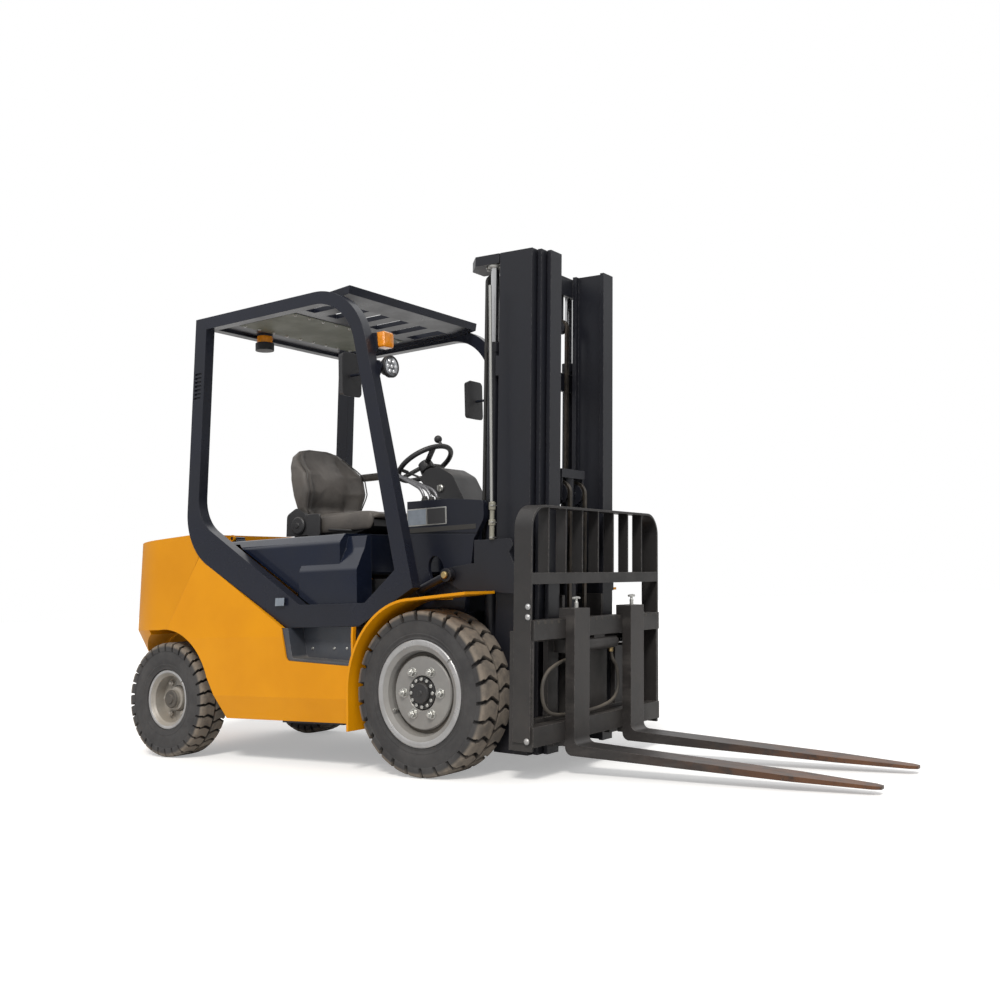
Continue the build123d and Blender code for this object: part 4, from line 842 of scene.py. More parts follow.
CARRIAGE = Coat("carriage enamel", (0.024, 0.0225, 0.023), (0.017, 0.0165, 0.017), bare_and_highlight=(0.2, 0.18, 0.16),
                roughness=0.42, edge_wear_and_highlight=0.8, dust=0.14, dust_height=1.2, dust_colour=(0.2, 0.17, 0.14),
                rust=0.16, cloud_scale=6.0, grain=0.2, specular=0.4)
FORK = ForkSteel("forged fork steel", (0.038, 0.034, 0.033), (0.026, 0.024, 0.0235),
                 bare_and_highlight=(0.18, 0.165, 0.155), roughness=0.42, metallic=0.25, edge_wear_and_highlight=0.8,
                 dust_colour=(0.12, 0.108, 0.1), cloud_scale=5.0, grain=0.3)
AXLE = Coat("axle enamel", (0.03, 0.03, 0.031), (0.02, 0.02, 0.021), roughness=0.5, edge_wear_and_highlight=0.3, dust=0.5,
            dust_height=0.8, rust=0.2, grain=0.3, grain_scale=90.0)
RIM = Coat("wheel enamel", (0.27, 0.265, 0.255), (0.22, 0.215, 0.21), bare_and_highlight=(0.4, 0.39, 0.37),
           roughness=0.36, metallic=0.3, edge_wear_and_highlight=0.3, dust=0.25, dust_height=0.7, cloud_scale=8.0,
           grain=0.08)
RIM_REAR = Coat("rear wheel enamel", (0.36, 0.345, 0.32), (0.3, 0.28, 0.25), roughness=0.42, metallic=0.25,
                dust=0.5, rust=0.18, cloud_scale=9.0, grain=0.12)
TRAY = Coat("step enamel", (0.035, 0.045, 0.065), (0.028, 0.036, 0.052), bare_and_highlight=(0.2, 0.2, 0.2),
            roughness=0.4, coat=0.2, edge_wear_and_highlight=0.8, dust=0.5, dust_height=0.8, grain=0.1)
PLASTIC = Coat("black moulded plastic", (0.014, 0.014, 0.016), (0.02, 0.02, 0.022), roughness=0.42,
               edge_wear_and_highlight=0.1, edge_width=0.004, dust=0.22, dust_height=0.5, grain_scale=700.0, grain=0.25)
DARK_RUBBER = Coat("black hose rubber", (0.013, 0.013, 0.013), (0.022, 0.021, 0.02), roughness=0.55,
                   edge_wear_and_highlight=0.0, dust=0.4, dust_height=1.2, grain_scale=500.0, grain=0.2)
CHROME = Coat("polished rod chrome", (0.62, 0.62, 0.63), (0.55, 0.55, 0.56), roughness=0.1, metallic=1.0,
              edge_wear_and_highlight=0.0, dust=0.06, grain=0.0)
ZINC = Coat("zinc plate", (0.52, 0.52, 0.5), (0.42, 0.42, 0.4), roughness=0.28, metallic=0.85,
            edge_wear_and_highlight=0.2, dust=0.15, cloud_scale=30.0, grain=0.05)
CHAIN = Coat("oiled chain steel", (0.05, 0.045, 0.04), (0.09, 0.075, 0.06), roughness=0.32, metallic=0.8,
             edge_wear_and_highlight=0.5, edge_width=0.001, dust=0.15, rust=0.35, cloud_scale=40.0, grain=0.1)
BRIGHT_RIM = Coat("bright ring enamel", (0.42, 0.42, 0.425), (0.34, 0.34, 0.345), bare_and_highlight=(0.6, 0.59, 0.57),
                  roughness=0.25, metallic=0.5, edge_wear_and_highlight=0.3, dust=0.22, dust_height=0.7, cloud_scale=14.0,
                  grain=0.05)
BRASS = Coat("dull brass", (0.55, 0.42, 0.2), (0.42, 0.31, 0.15), roughness=0.32, metallic=0.9,
             edge_wear_and_highlight=0.2, dust=0.15, cloud_scale=40.0, grain=0.05)
ROOF_LINER = Coat("green-grey panel", (0.105, 0.115, 0.085), (0.08, 0.09, 0.068), roughness=0.5,
                  edge_wear_and_highlight=0.2, dust=0.05, cloud_scale=4.0, grain=0.1)
DULL_STEEL = Coat("dull bent rod steel", (0.2, 0.2, 0.21), (0.15, 0.15, 0.16), roughness=0.3, metallic=0.8,
                  edge_wear_and_highlight=0.1, dust=0.05, grain=0.05)
PALE_UNION = Coat("beige coupling enamel", (0.3, 0.29, 0.24), (0.22, 0.21, 0.17), roughness=0.35,
                  metallic=0.3, edge_wear_and_highlight=0.3, dust=0.1, cloud_scale=30.0, grain=0.05)
PLATE_GREY = Coat("blue-grey plate", (0.2, 0.23, 0.27), (0.16, 0.185, 0.22), roughness=0.4, edge_wear_and_highlight=0.1,
                  dust=0.05, cloud_scale=20.0, grain=0.03)
AMBER = Lens("amber lamp lens", (0.9, 0.3, 0.01), 0.2, ribs=60.0)
CLEAR = Lens("clear lamp lens", (0.5, 0.52, 0.55), 0.06, metallic=0.6)
LED = Lens("lamp spots", (0.85, 0.87, 0.9), 0.1, metallic=0.2)
MIRROR = Lens("mirror glass", (0.75, 0.78, 0.8), 0.03, metallic=1.0)
ENGINE = Coat("engine casting", (0.05, 0.05, 0.052), (0.035, 0.035, 0.036), roughness=0.55, dust=0.5,
              rust=0.15, grain=0.4, grain_scale=80.0)

NODE_FINISH: dict[str, Coat] = {
    "chassis_frame": NAVY, "side_tanks": NAVY, "side_panels": YELLOW, "counterweight": CAST_YELLOW,
                                "guard_side_right": NAVY,
    "guard_side_left": NAVY, "guard_roof": NAVY, "cowl": NAVY, "front_fenders": YELLOW,
                                "dash_cover": PLASTIC,
    "control_levers": CHROME, "engine_block": ENGINE, "front_axle": AXLE, "steer_axle": AXLE,
                                "lamps": PLASTIC,
    "mirrors": PLASTIC, "step_trays": TRAY, "tow_pin": ZINC, "pedals": PLASTIC, "lever_knobs": PLASTIC,
    "lamp_brackets": NAVY, "beacon": PLASTIC, "hood": HOOD, "seat_base": PLASTIC, "steering_wheel": PLASTIC,
    "rim_front_right": RIM, "rim_front_left": RIM, "rim_rear_right": RIM_REAR, "rim_rear_left": RIM_REAR,
    "knuckle_right": AXLE, "knuckle_left": AXLE, "mast_outer": MAST, "mast_brackets": MAST,
                                "lift_barrels": MAST,
    "mast_hoses": DARK_RUBBER, "mast_middle": MAST, "lift_rods": CHROME, "main_lift_chains": CHAIN,
                                "mast_inner": MAST,
    "free_lift_barrel": MAST, "free_lift_head": MAST, "free_lift_chains": CHAIN, "carriage": CARRIAGE,
    "shift_rod": CHROME, "side_shifter": CARRIAGE, "load_backrest": CARRIAGE, "shift_barrel": CARRIAGE,
    "fork_right": FORK, "fork_left": FORK, "tilt_barrels": MAST, "tilt_rods": MAST, "tilt_mounts": NAVY,
}


class Palette:
    """Builds each finish once and hands out its material."""

    def __init__(self) -> None:
        """Starts with the shared groups and no material."""
        self.effects = Effects()
        self.built: dict[str, bpy.types.Material] = {}

    def material(self, finish: object) -> bpy.types.Material:
        """Gives the finish's material, made on its first use.

        Args:
            finish: A finish, known by its name.

        Returns:
            The material.
        """
        if finish.name not in self.built:
            self.built[finish.name] = finish.build(self.effects)
        return self.built[finish.name]


@dataclass
class Workshop:
    """What every sub-assembly needs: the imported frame, the finishes and the main places."""

    frame: dict
    palette: Palette

    def finish_piece(self, piece: bpy.types.Object, finish: object, body: Body | str,
                     slot: str) -> bpy.types.Object:
        """Gives a new piece its material, its body and its material slot.

        Args:
            piece: The piece.
            finish: Its finish.
            body: The body that carries it.
            slot: Not used.

        Returns:
            The piece.
        """
        piece.data.materials.clear()
        piece.data.materials.append(self.palette.material(finish))
        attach(piece, body.value if isinstance(body, Body) else body)
        log.info("%s on %s in %s", piece.name, body, finish.name)
        return piece

    def make(self, name: str, surface: Surface, finish: object, body: Body | str, slot: str,
             sharp: float = 32.0) -> bpy.types.Object:
        """Makes a piece of a surface in millimetres and finishes it.

        Args:
            name: Name of the piece.
            surface: Its surface.
            finish: Its finish.
            body: The body that carries it.
            slot: Passed on to finish_piece.
            sharp: Angle in degrees past which an edge is shaded sharp.

        Returns:
            The piece.
        """
        return self.finish_piece(make_mesh(name, surface, sharp), finish, body, slot)

    def centre(self, node: str) -> Array:
        """Gives the middle of a node's box."""
        low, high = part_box(node)
        return (np.array(low) + np.array(high)) / 2

    def axle(self, end: str) -> Point:
        """Gives the middle of the front or rear axle in millimetres, at the truck's middle."""
        x, _, z = self.centre(f"tyre_{end}_right") / MM
        return (x, 0.0, z)


# Studio


@dataclass(frozen=True)
class Studio:
    """Camera, lamps and floor of the photograph, sky and floor given as strengths."""

    camera_from_axle: Point = (3.13595, -4.37132, 0.76698)
    azimuth: float = 32.63
    pitch: float = 7.85
    roll: float = -1.96
    focal_pixels: float = 1110.22
    principal: tuple[float, float] = (551.64, 438.93)
    image_side: float = 1000.0
    sensor: float = 36.0
    sky: float = 0.62
    low_sky: float = 0.3
    high_sky: float = 1.4
    sun: float = 2.1
    sun_width: float = 12.0
    sun_colour: RGB = (1.0, 0.97, 0.92)
    sun_direction: Point = (-0.42, 0.72, -0.78)
    floor_size: float = 60.0
    floor_tone: float = 0.82
    floor_lift: float = 0.34
    floor_drop: float = 0.0005

    def add_camera(self, axle_x: float) -> None:
        """Places the camera from the front axle's foot.

        Args:
            axle_x: X of the front axle.
        """
        turn, rise, bank = (math.radians(value) for value in (self.azimuth, self.pitch, self.roll))
        forward = Vector((-math.sin(turn) * math.cos(rise), math.cos(turn) * math.cos(rise),
                          math.sin(rise)))
        right = forward.cross(Vector((0, 0, 1))).normalized()
        up = right.cross(forward)
        banked_right = right * math.cos(bank) + up * math.sin(bank)
        banked_up = up * math.cos(bank) - right * math.sin(bank)
        data = bpy.data.cameras.new("photo camera")
        data.sensor_width = self.sensor
        data.lens = self.focal_pixels / self.image_side * self.sensor
        data.shift_x = (self.image_side / 2 - self.principal[0]) / self.image_side
        data.shift_y = (self.principal[1] - self.image_side / 2) / self.image_side
        data.clip_end = 200.0
        camera = bpy.data.objects.new("photo camera", data)
        matrix = Matrix((banked_right, banked_up, -forward)).transposed().to_4x4()
        matrix.translation = Vector(self.camera_from_axle) + Vector((axle_x, 0, 0))
        camera.matrix_world = matrix
        bpy.context.scene.collection.objects.link(camera)
        bpy.context.scene.camera = camera
        bpy.context.scene.view_settings.view_transform = "Standard"

    def add_light(self) -> None:
        """Sets one broad sun and a sky: white to the camera, even for soft light, and in reflections
        rising from dim at the horizon to bright overhead.
        """
        world = bpy.data.worlds.new("studio sky")
        bpy.context.scene.world = world
        world.use_nodes = True
        tree = world.node_tree
        tree.nodes.clear()
        path = put(tree, "ShaderNodeLightPath")
        seen = maths(tree, "MAXIMUM", path.outputs["Is Camera Ray"], path.outputs["Is Transmission Ray"])
        split = put(tree, "ShaderNodeSeparateXYZ",
                    {0: put(tree, "ShaderNodeTexCoord").outputs["Generated"]})
        mirrored = ramp(tree, split.outputs["Z"], -0.1, 0.75, self.low_sky, self.high_sky)
        shown = put(tree, "ShaderNodeMix",
                    {0: path.outputs["Is Glossy Ray"], 2: self.sky, 3: mirrored}).outputs[0]
        strength = put(tree, "ShaderNodeMix", {0: seen, 2: shown, 3: 1.0}).outputs[0]
        shown = put(tree, "ShaderNodeBackground", {"Color": (1, 1, 1, 1), "Strength": strength})
        tree.links.new(shown.outputs[0], put(tree, "ShaderNodeOutputWorld").inputs["Surface"])
        data = bpy.data.lights.new("broad sun", "SUN")
        data.energy = self.sun
        data.angle = math.radians(self.sun_width)
        data.color = self.sun_colour
        lamp = bpy.data.objects.new("broad sun", data)
        lamp.rotation_euler = Vector(self.sun_direction).to_track_quat("-Z", "Y").to_euler()
        bpy.context.scene.collection.objects.link(lamp)

    def add_floor(self) -> None:
        """Lays the pale floor, which keeps the truck's shadow."""
        side = np.linspace(-self.floor_size, self.floor_size, 3)
        across, along = np.meshgrid(side, side)
        grid = np.stack([across, along, 0 * across - self.floor_drop], -1)
        points, quads = Surface().add_grid(grid).arrays()
        mesh = bpy.data.meshes.new("floor")
        mesh.from_pydata(points.tolist(), [], quads.tolist())
        floor = bpy.data.objects.new("floor", mesh)
        bpy.context.scene.collection.objects.link(floor)
        material, tree, shader = start_material("pale floor")
        path = put(tree, "ShaderNodeLightPath")
        seen = path.outputs["Is Camera Ray"]
        shader.inputs["Base Color"].default_value = rgba((self.floor_tone,) * 3)
        shader.inputs["Roughness"].default_value = 0.9
        shader.inputs["Specular IOR Level"].default_value = 0.0
        shader.inputs["Emission Color"].default_value = (1, 1, 1, 1)
        lift = maths(tree, "MULTIPLY", seen, self.floor_lift)
        tree.links.new(lift, shader.inputs["Emission Strength"])
        mesh.materials.append(material)


# Wheels


@dataclass(frozen=True)
class TyreShape:
    """A tyre's section and tread, in millimetres."""

    radius: float
    half: float
    flange: float
    bead_half: float
    bore: float
    lugs: int
    peak: float
    lug_depth: float = 22.0
    columns: int = 16
    bend: float = 0.5

    def section(self) -> tuple[Array, Array]:
        """Gives the half section twice, from the middle of the tread to the bore.

        Returns:
            Pairs of radius and distance from the middle, for lug tops and for the grooves' bottoms.
        """
        tyre, half, flange = self.radius, self.half, self.flange
        floor = tyre - self.lug_depth
        tread = [0.0, 3.0, 6.5] + [half * share for share in (0.2, 0.32, 0.44, 0.56, 0.68, 0.8)]
        top = [(floor, 0.0), (floor, 3.0)] + [(tyre - 3 * (y / half) ** 4, y) for y in tread[2:]]
        low = [(floor, y) for y in tread]
        top += [(tyre - 4, half - 11), (tyre - 7, half - 6), (tyre - 13, half - 2.5),
                (tyre - 24, half - 0.5), (tyre - 40, half), (tyre - 44, half - 1)]
        low += [(floor, half - 26), (floor - 1, half - 22), (floor - 5, half - 18), (tyre - 34, half - 13),
                (tyre - 43, half - 8), (tyre - 44, half - 1)]
        wall = tyre - 44 - flange
        side = [(tyre - 46, half - 3.5), (tyre - 50, half - 3), (flange + 0.62 * wall, half - 0.5),
                (flange + 0.4 * wall, half - 1), (flange + 0.36 * wall, half - 3),
                (flange + 0.33 * wall, half - 3), (flange + 0.29 * wall, half - 2),
                (flange + 0.16 * wall, half - 8), (flange + 4, 0.45 * half + 0.55 * self.bead_half + 4),
                (flange + 0.6, self.bead_half + 3), (flange + 0.6, self.bead_half - 1),
                (self.bore + 0.5, self.bead_half - 1)]
        return np.array(top + side), np.array(low + side)

    def half_tread(self, row: int) -> tuple[Array, Array, Array]:
        """Works out one half of the tyre about its own axis.

        A point's angle is its column's, plus a skew that rises to the peak at the bend and falls
        back to nought at both sides of the row. Its section point is the one at the grooves' floor, or
        the lug's where the column lies within the lug.

        Args:
            row: One for the outer row of lugs, minus one for the other, half a pitch behind.

        Returns:
            The grid, and for each point whether it is a dusty lug top and whether it lies in the grooves,
            which get painted shade.
        """
        top, low = self.section()
        columns = self.columns * self.lugs
        column = np.arange(columns)
        phase = (column / self.columns + 0.5 * (row > 0) + 0.5) % 1.0
        distance = np.abs(phase - 0.5) * self.columns
        lug = np.clip(self.columns * 0.5 - 1 - distance, 0, 1)
        bend_at = self.bend * self.half
        off_bend = np.abs(low[:, 1] - bend_at) / (bend_at - 4)
        skew = self.peak / (FULL_TURN * self.radius / columns) * np.clip(1 - off_bend, 0, 1)
        skew[len(top) - 12:] = 0
        angle = (column[None] + skew[:, None]) * FULL_TURN / columns
        section = low[:, None] + (top - low)[:, None] * lug[None, :, None]
        radius, out = section[..., 0], section[..., 1]
        grid = np.stack([radius * np.cos(angle), row * out, radius * np.sin(angle)], -1) * MM
        raised = np.linalg.norm(top - low, axis=1)[:, None] > 2
        dusty = (radius > self.radius - 16) * lug[None] * raised
        # Grooves are marked for painted shade.
        groove_shade = raised * (1 - lug[None]) + ((low[:, 1] < 4)[:, None] * 1.0)
        return grid, np.clip(dusty, 0, 1), np.clip(groove_shade, 0, 1)


@dataclass
class Tyre:
    """One tyre with its own tread, in place of the plain one."""

    workshop: Workshop
    shape: TyreShape
    node: str
    body: str
    crease: float = 38.0
    weld: float = 1e-6

    def build(self) -> None:
        """Makes the two halves and the bore as one closed mesh, and dresses it."""
        surface = Surface()
        masks = []
        for row in (1, -1):
            grid, dusty, groove_shade = self.shape.half_tread(row)
            surface.add_grid(grid, close_columns=True)
            masks.append(np.stack([dusty, groove_shade], -1).reshape(-1, 2))
            rim = grid[-1:]
            surface.add_grid(np.concatenate([rim, rim * [1, 0, 1]]), close_columns=True)
            masks.append(np.zeros((2 * grid.shape[1], 2)))
        points, quads = surface.arrays()
        points = points + self.workshop.centre(self.node)
        mesh = bpy.data.meshes.new(self.node + "_tread")
        mesh.from_pydata(points.tolist(), [], quads.tolist())
        values = np.concatenate(masks)
        for index, name in enumerate(("tread", "groove_shade")):
            layer = mesh.attributes.new(name, "FLOAT", "POINT")
            layer.data.foreach_set("value", values[:, index].astype(np.float32))
        shell = bmesh.new()
        shell.from_mesh(mesh)
        bmesh.ops.remove_doubles(shell, verts=shell.verts, dist=self.weld)
        bmesh.ops.recalc_face_normals(shell, faces=shell.faces)
        shell.to_mesh(mesh)
        shell.free()
        mesh.polygons.foreach_set("use_smooth", [True] * len(mesh.polygons))
        mesh.set_sharp_from_angle(angle=math.radians(self.crease))
        piece = bpy.data.objects.new(self.node + "_tread", mesh)
        bpy.context.scene.collection.objects.link(piece)
        self.workshop.finish_piece(piece, TyreRubber(), self.body, "tyre_rubber")
        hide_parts(self.node)


FRONT_TYRE = TyreShape(radius=355, half=106, flange=228, bead_half=88, bore=190, lugs=26, peak=30)
REAR_TYRE = TyreShape(radius=288, half=84, flange=149, bead_half=59, bore=127, lugs=30, peak=17)


@dataclass(frozen=True)
class TrimSizes:
    """Fittings of a wheel's outer face, in millimetres outwards from the wheel's middle."""

    ring: tuple[tuple[float, float], ...]
    # Inner radius, outer radius and height of the dark ring painted as shadow in the gap.
    shadow_band: tuple[float, float, float]
    nut_circle: float
    nut_across: float
    nut_face: float
    cap: tuple[tuple[float, float], ...]
    bolt_circle: float = 0.0
    bolt_across: float = 14.0
    bolt_face: float = 0.0
    bolts: int = 12
    nuts: int = 6
    split_at: float = 0.68
    disc: tuple[tuple[float, float], ...] = ()


@dataclass
class WheelTrim:
    """Lock ring, disc face, nuts, bolts, cap and valve on one wheel, with a dark ring painted as the shadow
    in the gap inside the lock ring.
    """

    workshop: Workshop
    sizes: TrimSizes
    end: str
    side: str

    def build(self) -> None:
        """Makes the fittings about the wheel's axis and dresses them."""
        sizes, shop = self.sizes, self.workshop
        sign = -1 if self.side == "right" else 1
        middle = shop.centre(f"tyre_{self.end}_{self.side}") / MM
        face = frame_of((0, sign, 0))
        body = f"wheel_{self.end}_{self.side}"
        name = f"{self.end}_{self.side}"
        rim = RIM if self.end == "front" else RIM_REAR
        ring = Surface().add_grid(place(split_ring(sizes.ring, sizes.split_at, 0.04), middle, face),
                                  close_rows=True)
        shop.make(f"lock_ring_{name}", ring, BRIGHT_RIM, body, "rim_paint")
        # A thin ring in black rubber finish paints the shadow in the gap inside the lock ring.
        inner, outer, height = sizes.shadow_band
        shadow_band = [(inner, height - 2), (outer, height - 2), (outer, height + 1.2), (inner, height + 1.2)]
        gap = Surface().add_grid(place(lathe(shadow_band, 72), middle, face), close_rows=True, close_columns=True)
        shop.make(f"painted_shadow_ring_{name}", gap, DARK_RUBBER, body, "rim_paint")
        if sizes.disc:
            disc = Surface().add_grid(place(lathe(sizes.disc, 72), middle, face), close_rows=True,
                                      close_columns=True)
            shop.make(f"disc_face_{name}", disc, RIM, body, "rim_paint")
        turn = np.arange(sizes.nuts) * FULL_TURN / sizes.nuts
        spots = np.stack([sizes.nut_circle * np.cos(turn), sizes.nut_circle * np.sin(turn),
                          0 * turn + sizes.nut_face], -1)
        nuts = Surface().add_copies(nut(sizes.nut_across, 0.55 * sizes.nut_across, 0.72 * sizes.nut_across,
                                        0.25 * sizes.nut_across), place(spots, middle, face), face)
        shop.make(f"wheel_nuts_{name}", nuts, ZINC if self.end == "front" else rim, body, "rim_paint")
        if sizes.bolt_circle:
            turn = np.arange(sizes.bolts) * FULL_TURN / sizes.bolts
            spots = np.stack([sizes.bolt_circle * np.cos(turn), sizes.bolt_circle * np.sin(turn),
                              0 * turn + sizes.bolt_face], -1)
            bolts = Surface().add_copies(nut(sizes.bolt_across, 0.5 * sizes.bolt_across),
                                         place(spots, middle, face), face)
            shop.make(f"hub_bolts_{name}", bolts, ZINC, body, "rim_paint")
            stem = [(0, 0), (5, 0), (5, 34), (3.4, 36), (3.4, 46), (0, 46)]
            radius = (inner + outer) / 2
            foot = place(np.array([radius * math.cos(3.6), radius * math.sin(3.6), height]), middle, face)
            valve = Surface().add_grid(place(lathe(stem, 12), foot, face), close_columns=True)
            shop.make(f"valve_{name}", valve, ZINC, body, "rim_paint")
        cap = Surface().add_grid(place(lathe(sizes.cap, 36), middle, face), close_columns=True)
        shop.make(f"hub_cap_{name}", cap, PLASTIC if self.end == "front" else AXLE, body, "rim_paint")


FRONT_TRIM = TrimSizes(
    ring=((203, 98), (229, 96), (229, 101), (224, 104.5), (209, 104.5), (203, 101)), shadow_band=(152, 171, 55),
    nut_circle=101.5, nut_across=30, nut_face=77, bolt_circle=59, bolt_across=15, bolt_face=76,
    disc=((73, 42), (156, 42), (157, 68), (152, 74), (120, 77), (76, 77), (73, 74)),
    cap=((0, 55), (69, 55), (69, 76), (45, 76), (45, 88), (41, 94), (12, 95), (11, 98), (0, 98)))
REAR_TRIM = TrimSizes(
    ring=((134, 65), (149.6, 64), (149.8, 67.5), (146, 70.6), (138, 70.6), (134, 68)), shadow_band=(60, 66, -4),
    nut_circle=88, nut_across=26, nut_face=-4.2,
                      cap=((0, 43), (46.5, 43), (46.5, 45), (41, 51.4), (24, 52), (22, 58), (0, 58)))


# Seat


@dataclass(frozen=True)
class SeatShape:
    """Places of the seat, in millimetres: x from the seat's own origin and z from the ground."""

    origin_from_axle: float = 889.0
    cushion_back: float = -189.0
    cushion_front: float = 240.0
    cushion_low: float = 1156.6
    cushion_top: float = 1206.0
    cushion_corner: float = 52.0
    half_width: float = 228.0
    seam_at: float = 142.0
    front_seam_at: float = 92.0
    seam_depth: float = 7.0
    ridge_height: float = 9.0
    cushion_fall: float = 16.0
    fall_from: float = 25.0
    fall_length: float = 215.0
    back_low: float = 1158.0
    back_top: float = 1573.0
    back_middle: float = 1380.0
    back_seam_at: float = 118.0
    back_seam_level: float = 1462.0
    hollow: float = 62.0
    rear_levels: tuple[float, ...] = (1157, 1340, 1530, 1573)
    rear_reach: tuple[float, ...] = (-300, -352, -386, -372)
    wing_levels: tuple[float, ...] = (1157, 1242, 1333, 1429, 1510, 1573)
    wing_reach: tuple[float, ...] = (-214, -240, -207, -228, -318, -366)
    width_levels: tuple[float, ...] = (1157, 1230, 1308, 1400, 1470, 1525, 1560, 1574)
    half_widths: tuple[float, ...] = (180, 214, 232, 234, 220, 186, 138, 60)
    armrest_middle: tuple[float, float] = (-168.0, 1430.0)
    armrest_sides: tuple[float, float] = (219.0, 259.0)
    recliner: Point = (-142.0, 256.0, 1146.0)
    recliner_disc: Point = (-252.0, 256.0, 1150.0)

    @property
    def cushion_middle(self) -> float:
        """Gives the cushion's middle."""
        return (self.cushion_back + self.cushion_front) / 2

    @property
    def cushion_reach(self) -> float:
        """Gives half of the cushion's length."""
        return (self.cushion_front - self.cushion_back) / 2


@dataclass
class Seat:
    """Cushion, wraparound back, armrest and recliner covers on the hood."""

    workshop: Workshop
    shape: SeatShape = SeatShape()

    def cushion_depth(self, x: Array, y: Array) -> tuple[Array, Array]:
        """Gives the cushion's underside and top: a ridge near each side, falling to the front, with
        pressed seams.

        Args:
            x: Places forward of the seat's origin.
            y: Places to the left.

        Returns:
            Heights of the underside and of the top.
        """
        shape = self.shape
        across, along = y / shape.half_width, (x - shape.fall_from) / shape.fall_length
        ridge = shape.ridge_height * np.exp(-(((np.abs(across) - 0.8) / 0.14) ** 2))
        fall = shape.cushion_fall * across ** 4, shape.cushion_fall * np.clip(along, 0, 1) ** 3
        top = shape.cushion_top - fall[0] - fall[1] + ridge
        side_seam = np.exp(-(((np.abs(y) - shape.seam_at) / 5) ** 2))
        front_seam = np.exp(-(((x - shape.front_seam_at) / 5) ** 2)) * (np.abs(y) < shape.seam_at)
        pressed = shape.seam_depth * np.clip(side_seam + 0.8 * front_seam, 0, 1)
        return shape.cushion_low + 0 * x, top - pressed

    def back_depth(self, y: Array, z: Array) -> tuple[Array, Array]:
        """Gives the back's rear and front: wings forward at both sides and a hollow between them.

        Args:
            y: Places to the left.
            z: Heights.

        Returns:
            Distances forward of the rear and of the front.
        """
        shape = self.shape
        rear = np.interp(z, shape.rear_levels, shape.rear_reach)
        wing = np.interp(z, shape.wing_levels, shape.wing_reach)
        across = np.clip((np.abs(y) / self.half_width_at(z) - 0.56) / 0.3, 0, 1)
        rise = np.clip((z - 1157) / 90, 0, 1) * np.clip((1580 - z) / 150, 0, 1)
        hollow = shape.hollow * rise * (1 - across ** 2 * (3 - 2 * across))
        side_seam = np.exp(-(((np.abs(y) - shape.back_seam_at) / 5) ** 2))
        level_seam = np.exp(-(((z - shape.back_seam_level) / 5) ** 2)) * (np.abs(y) < shape.back_seam_at)
        return rear, wing - hollow - 6 * np.clip(side_seam + level_seam, 0, 1)

    def half_width_at(self, z: Array) -> Array:
        """Gives the back's half width at a height."""
        return np.interp(z, self.shape.width_levels, self.shape.half_widths)

    def build(self) -> None:
        """Makes the soft pieces, their welts and the recliner's covers."""
        shape, shop = self.shape, self.workshop
        axle_x = shop.axle("rear")[0]
        origin = np.array([axle_x + shape.origin_from_axle, 0, 0])
        outline = rounded_outline(shape.cushion_reach, shape.half_width, shape.cushion_corner, 12)
        outline = self.dense(outline) + [shape.cushion_middle, 0]
        grid = pillow(outline, (shape.cushion_middle, 0), self.cushion_depth)
        self.soft("cushion_vinyl", grid + origin, "seat_cushion")
        height = np.linspace(shape.back_low, shape.back_top, 60)
        side = np.stack([self.half_width_at(height), height], -1)
        outline = np.concatenate([side, (side * [-1, 1])[::-1]])
        grid = pillow(self.dense(outline), (0, shape.back_middle), self.back_depth)
        self.soft("back_vinyl", grid[..., [2, 0, 1]] + origin, "seat_back")
        arm = rounded_outline(112, 20, 18, 8)
        inner, outer = shape.armrest_sides
        grid = pillow(self.dense(arm), (0, 0), lambda x, z: (inner + 0 * x, outer + 0 * x), 20, 0.5)
        along, level = shape.armrest_middle
        grid = grid[..., [0, 2, 1]] + origin + [along, 0, level]
        self.soft("armrest_vinyl", grid, "armrest")
        self.add_skirt(origin)
        self.add_welts(origin)
        self.add_covers(origin)

    def add_skirt(self, origin: Array) -> None:
        """Hangs the cushion's vinyl side over the pan as a padded roll along both sides.

        The roll is an ellipse whose half height and bulge grow and shrink with a quarter sine at its
        rear and front ends.

        Args:
            origin: The seat's origin.
        """
        surface = Surface()
        along = np.linspace(-170, 232, 40)
        turn = np.linspace(0, FULL_TURN, 24, endpoint=False)
        rear_end, front_end = np.clip((along + 176) / 60, 0, 1), np.clip((238 - along) / 30, 0, 1)
        swell = np.sin(rear_end * math.pi / 2) * np.sin(front_end * math.pi / 2)
        rise = np.interp(along, (-170, 232), (1146, 1154))
        for side in (-1, 1):
            y = side * (229 + 13 * swell[:, None] * np.cos(turn))
            z = rise[:, None] + 44 * swell[:, None] * np.sin(turn)
            x = np.broadcast_to(along[:, None], y.shape)
            roll = np.stack([x, y, z], -1)
            ends = [np.broadcast_to(roll[index].mean(0), (1, 24, 3)) for index in (0, -1)]
            surface.add_grid(np.concatenate([ends[0], roll, ends[1]]) + origin, close_columns=True)
        self.workshop.make("cushion_side_rolls", surface, Vinyl(), Body.HOOD, "seat_vinyl", 60)

    @staticmethod
    def dense(outline: Array, points: int = 150) -> Array:
        """Spaces an outline's points evenly along its length.

        Args:
            outline: Points by 2, closed by its first point.
            points: How many points to give.

        Returns:
            Points by 2.
        """
        closed = np.vstack([outline, outline[:1]])
        run = np.concatenate([[0], np.cumsum(np.linalg.norm(np.diff(closed, axis=0), axis=1))])
        at = np.linspace(0, run[-1], points, endpoint=False)
        return np.stack([np.interp(at, run, closed[:, axis]) for axis in (0, 1)], -1)

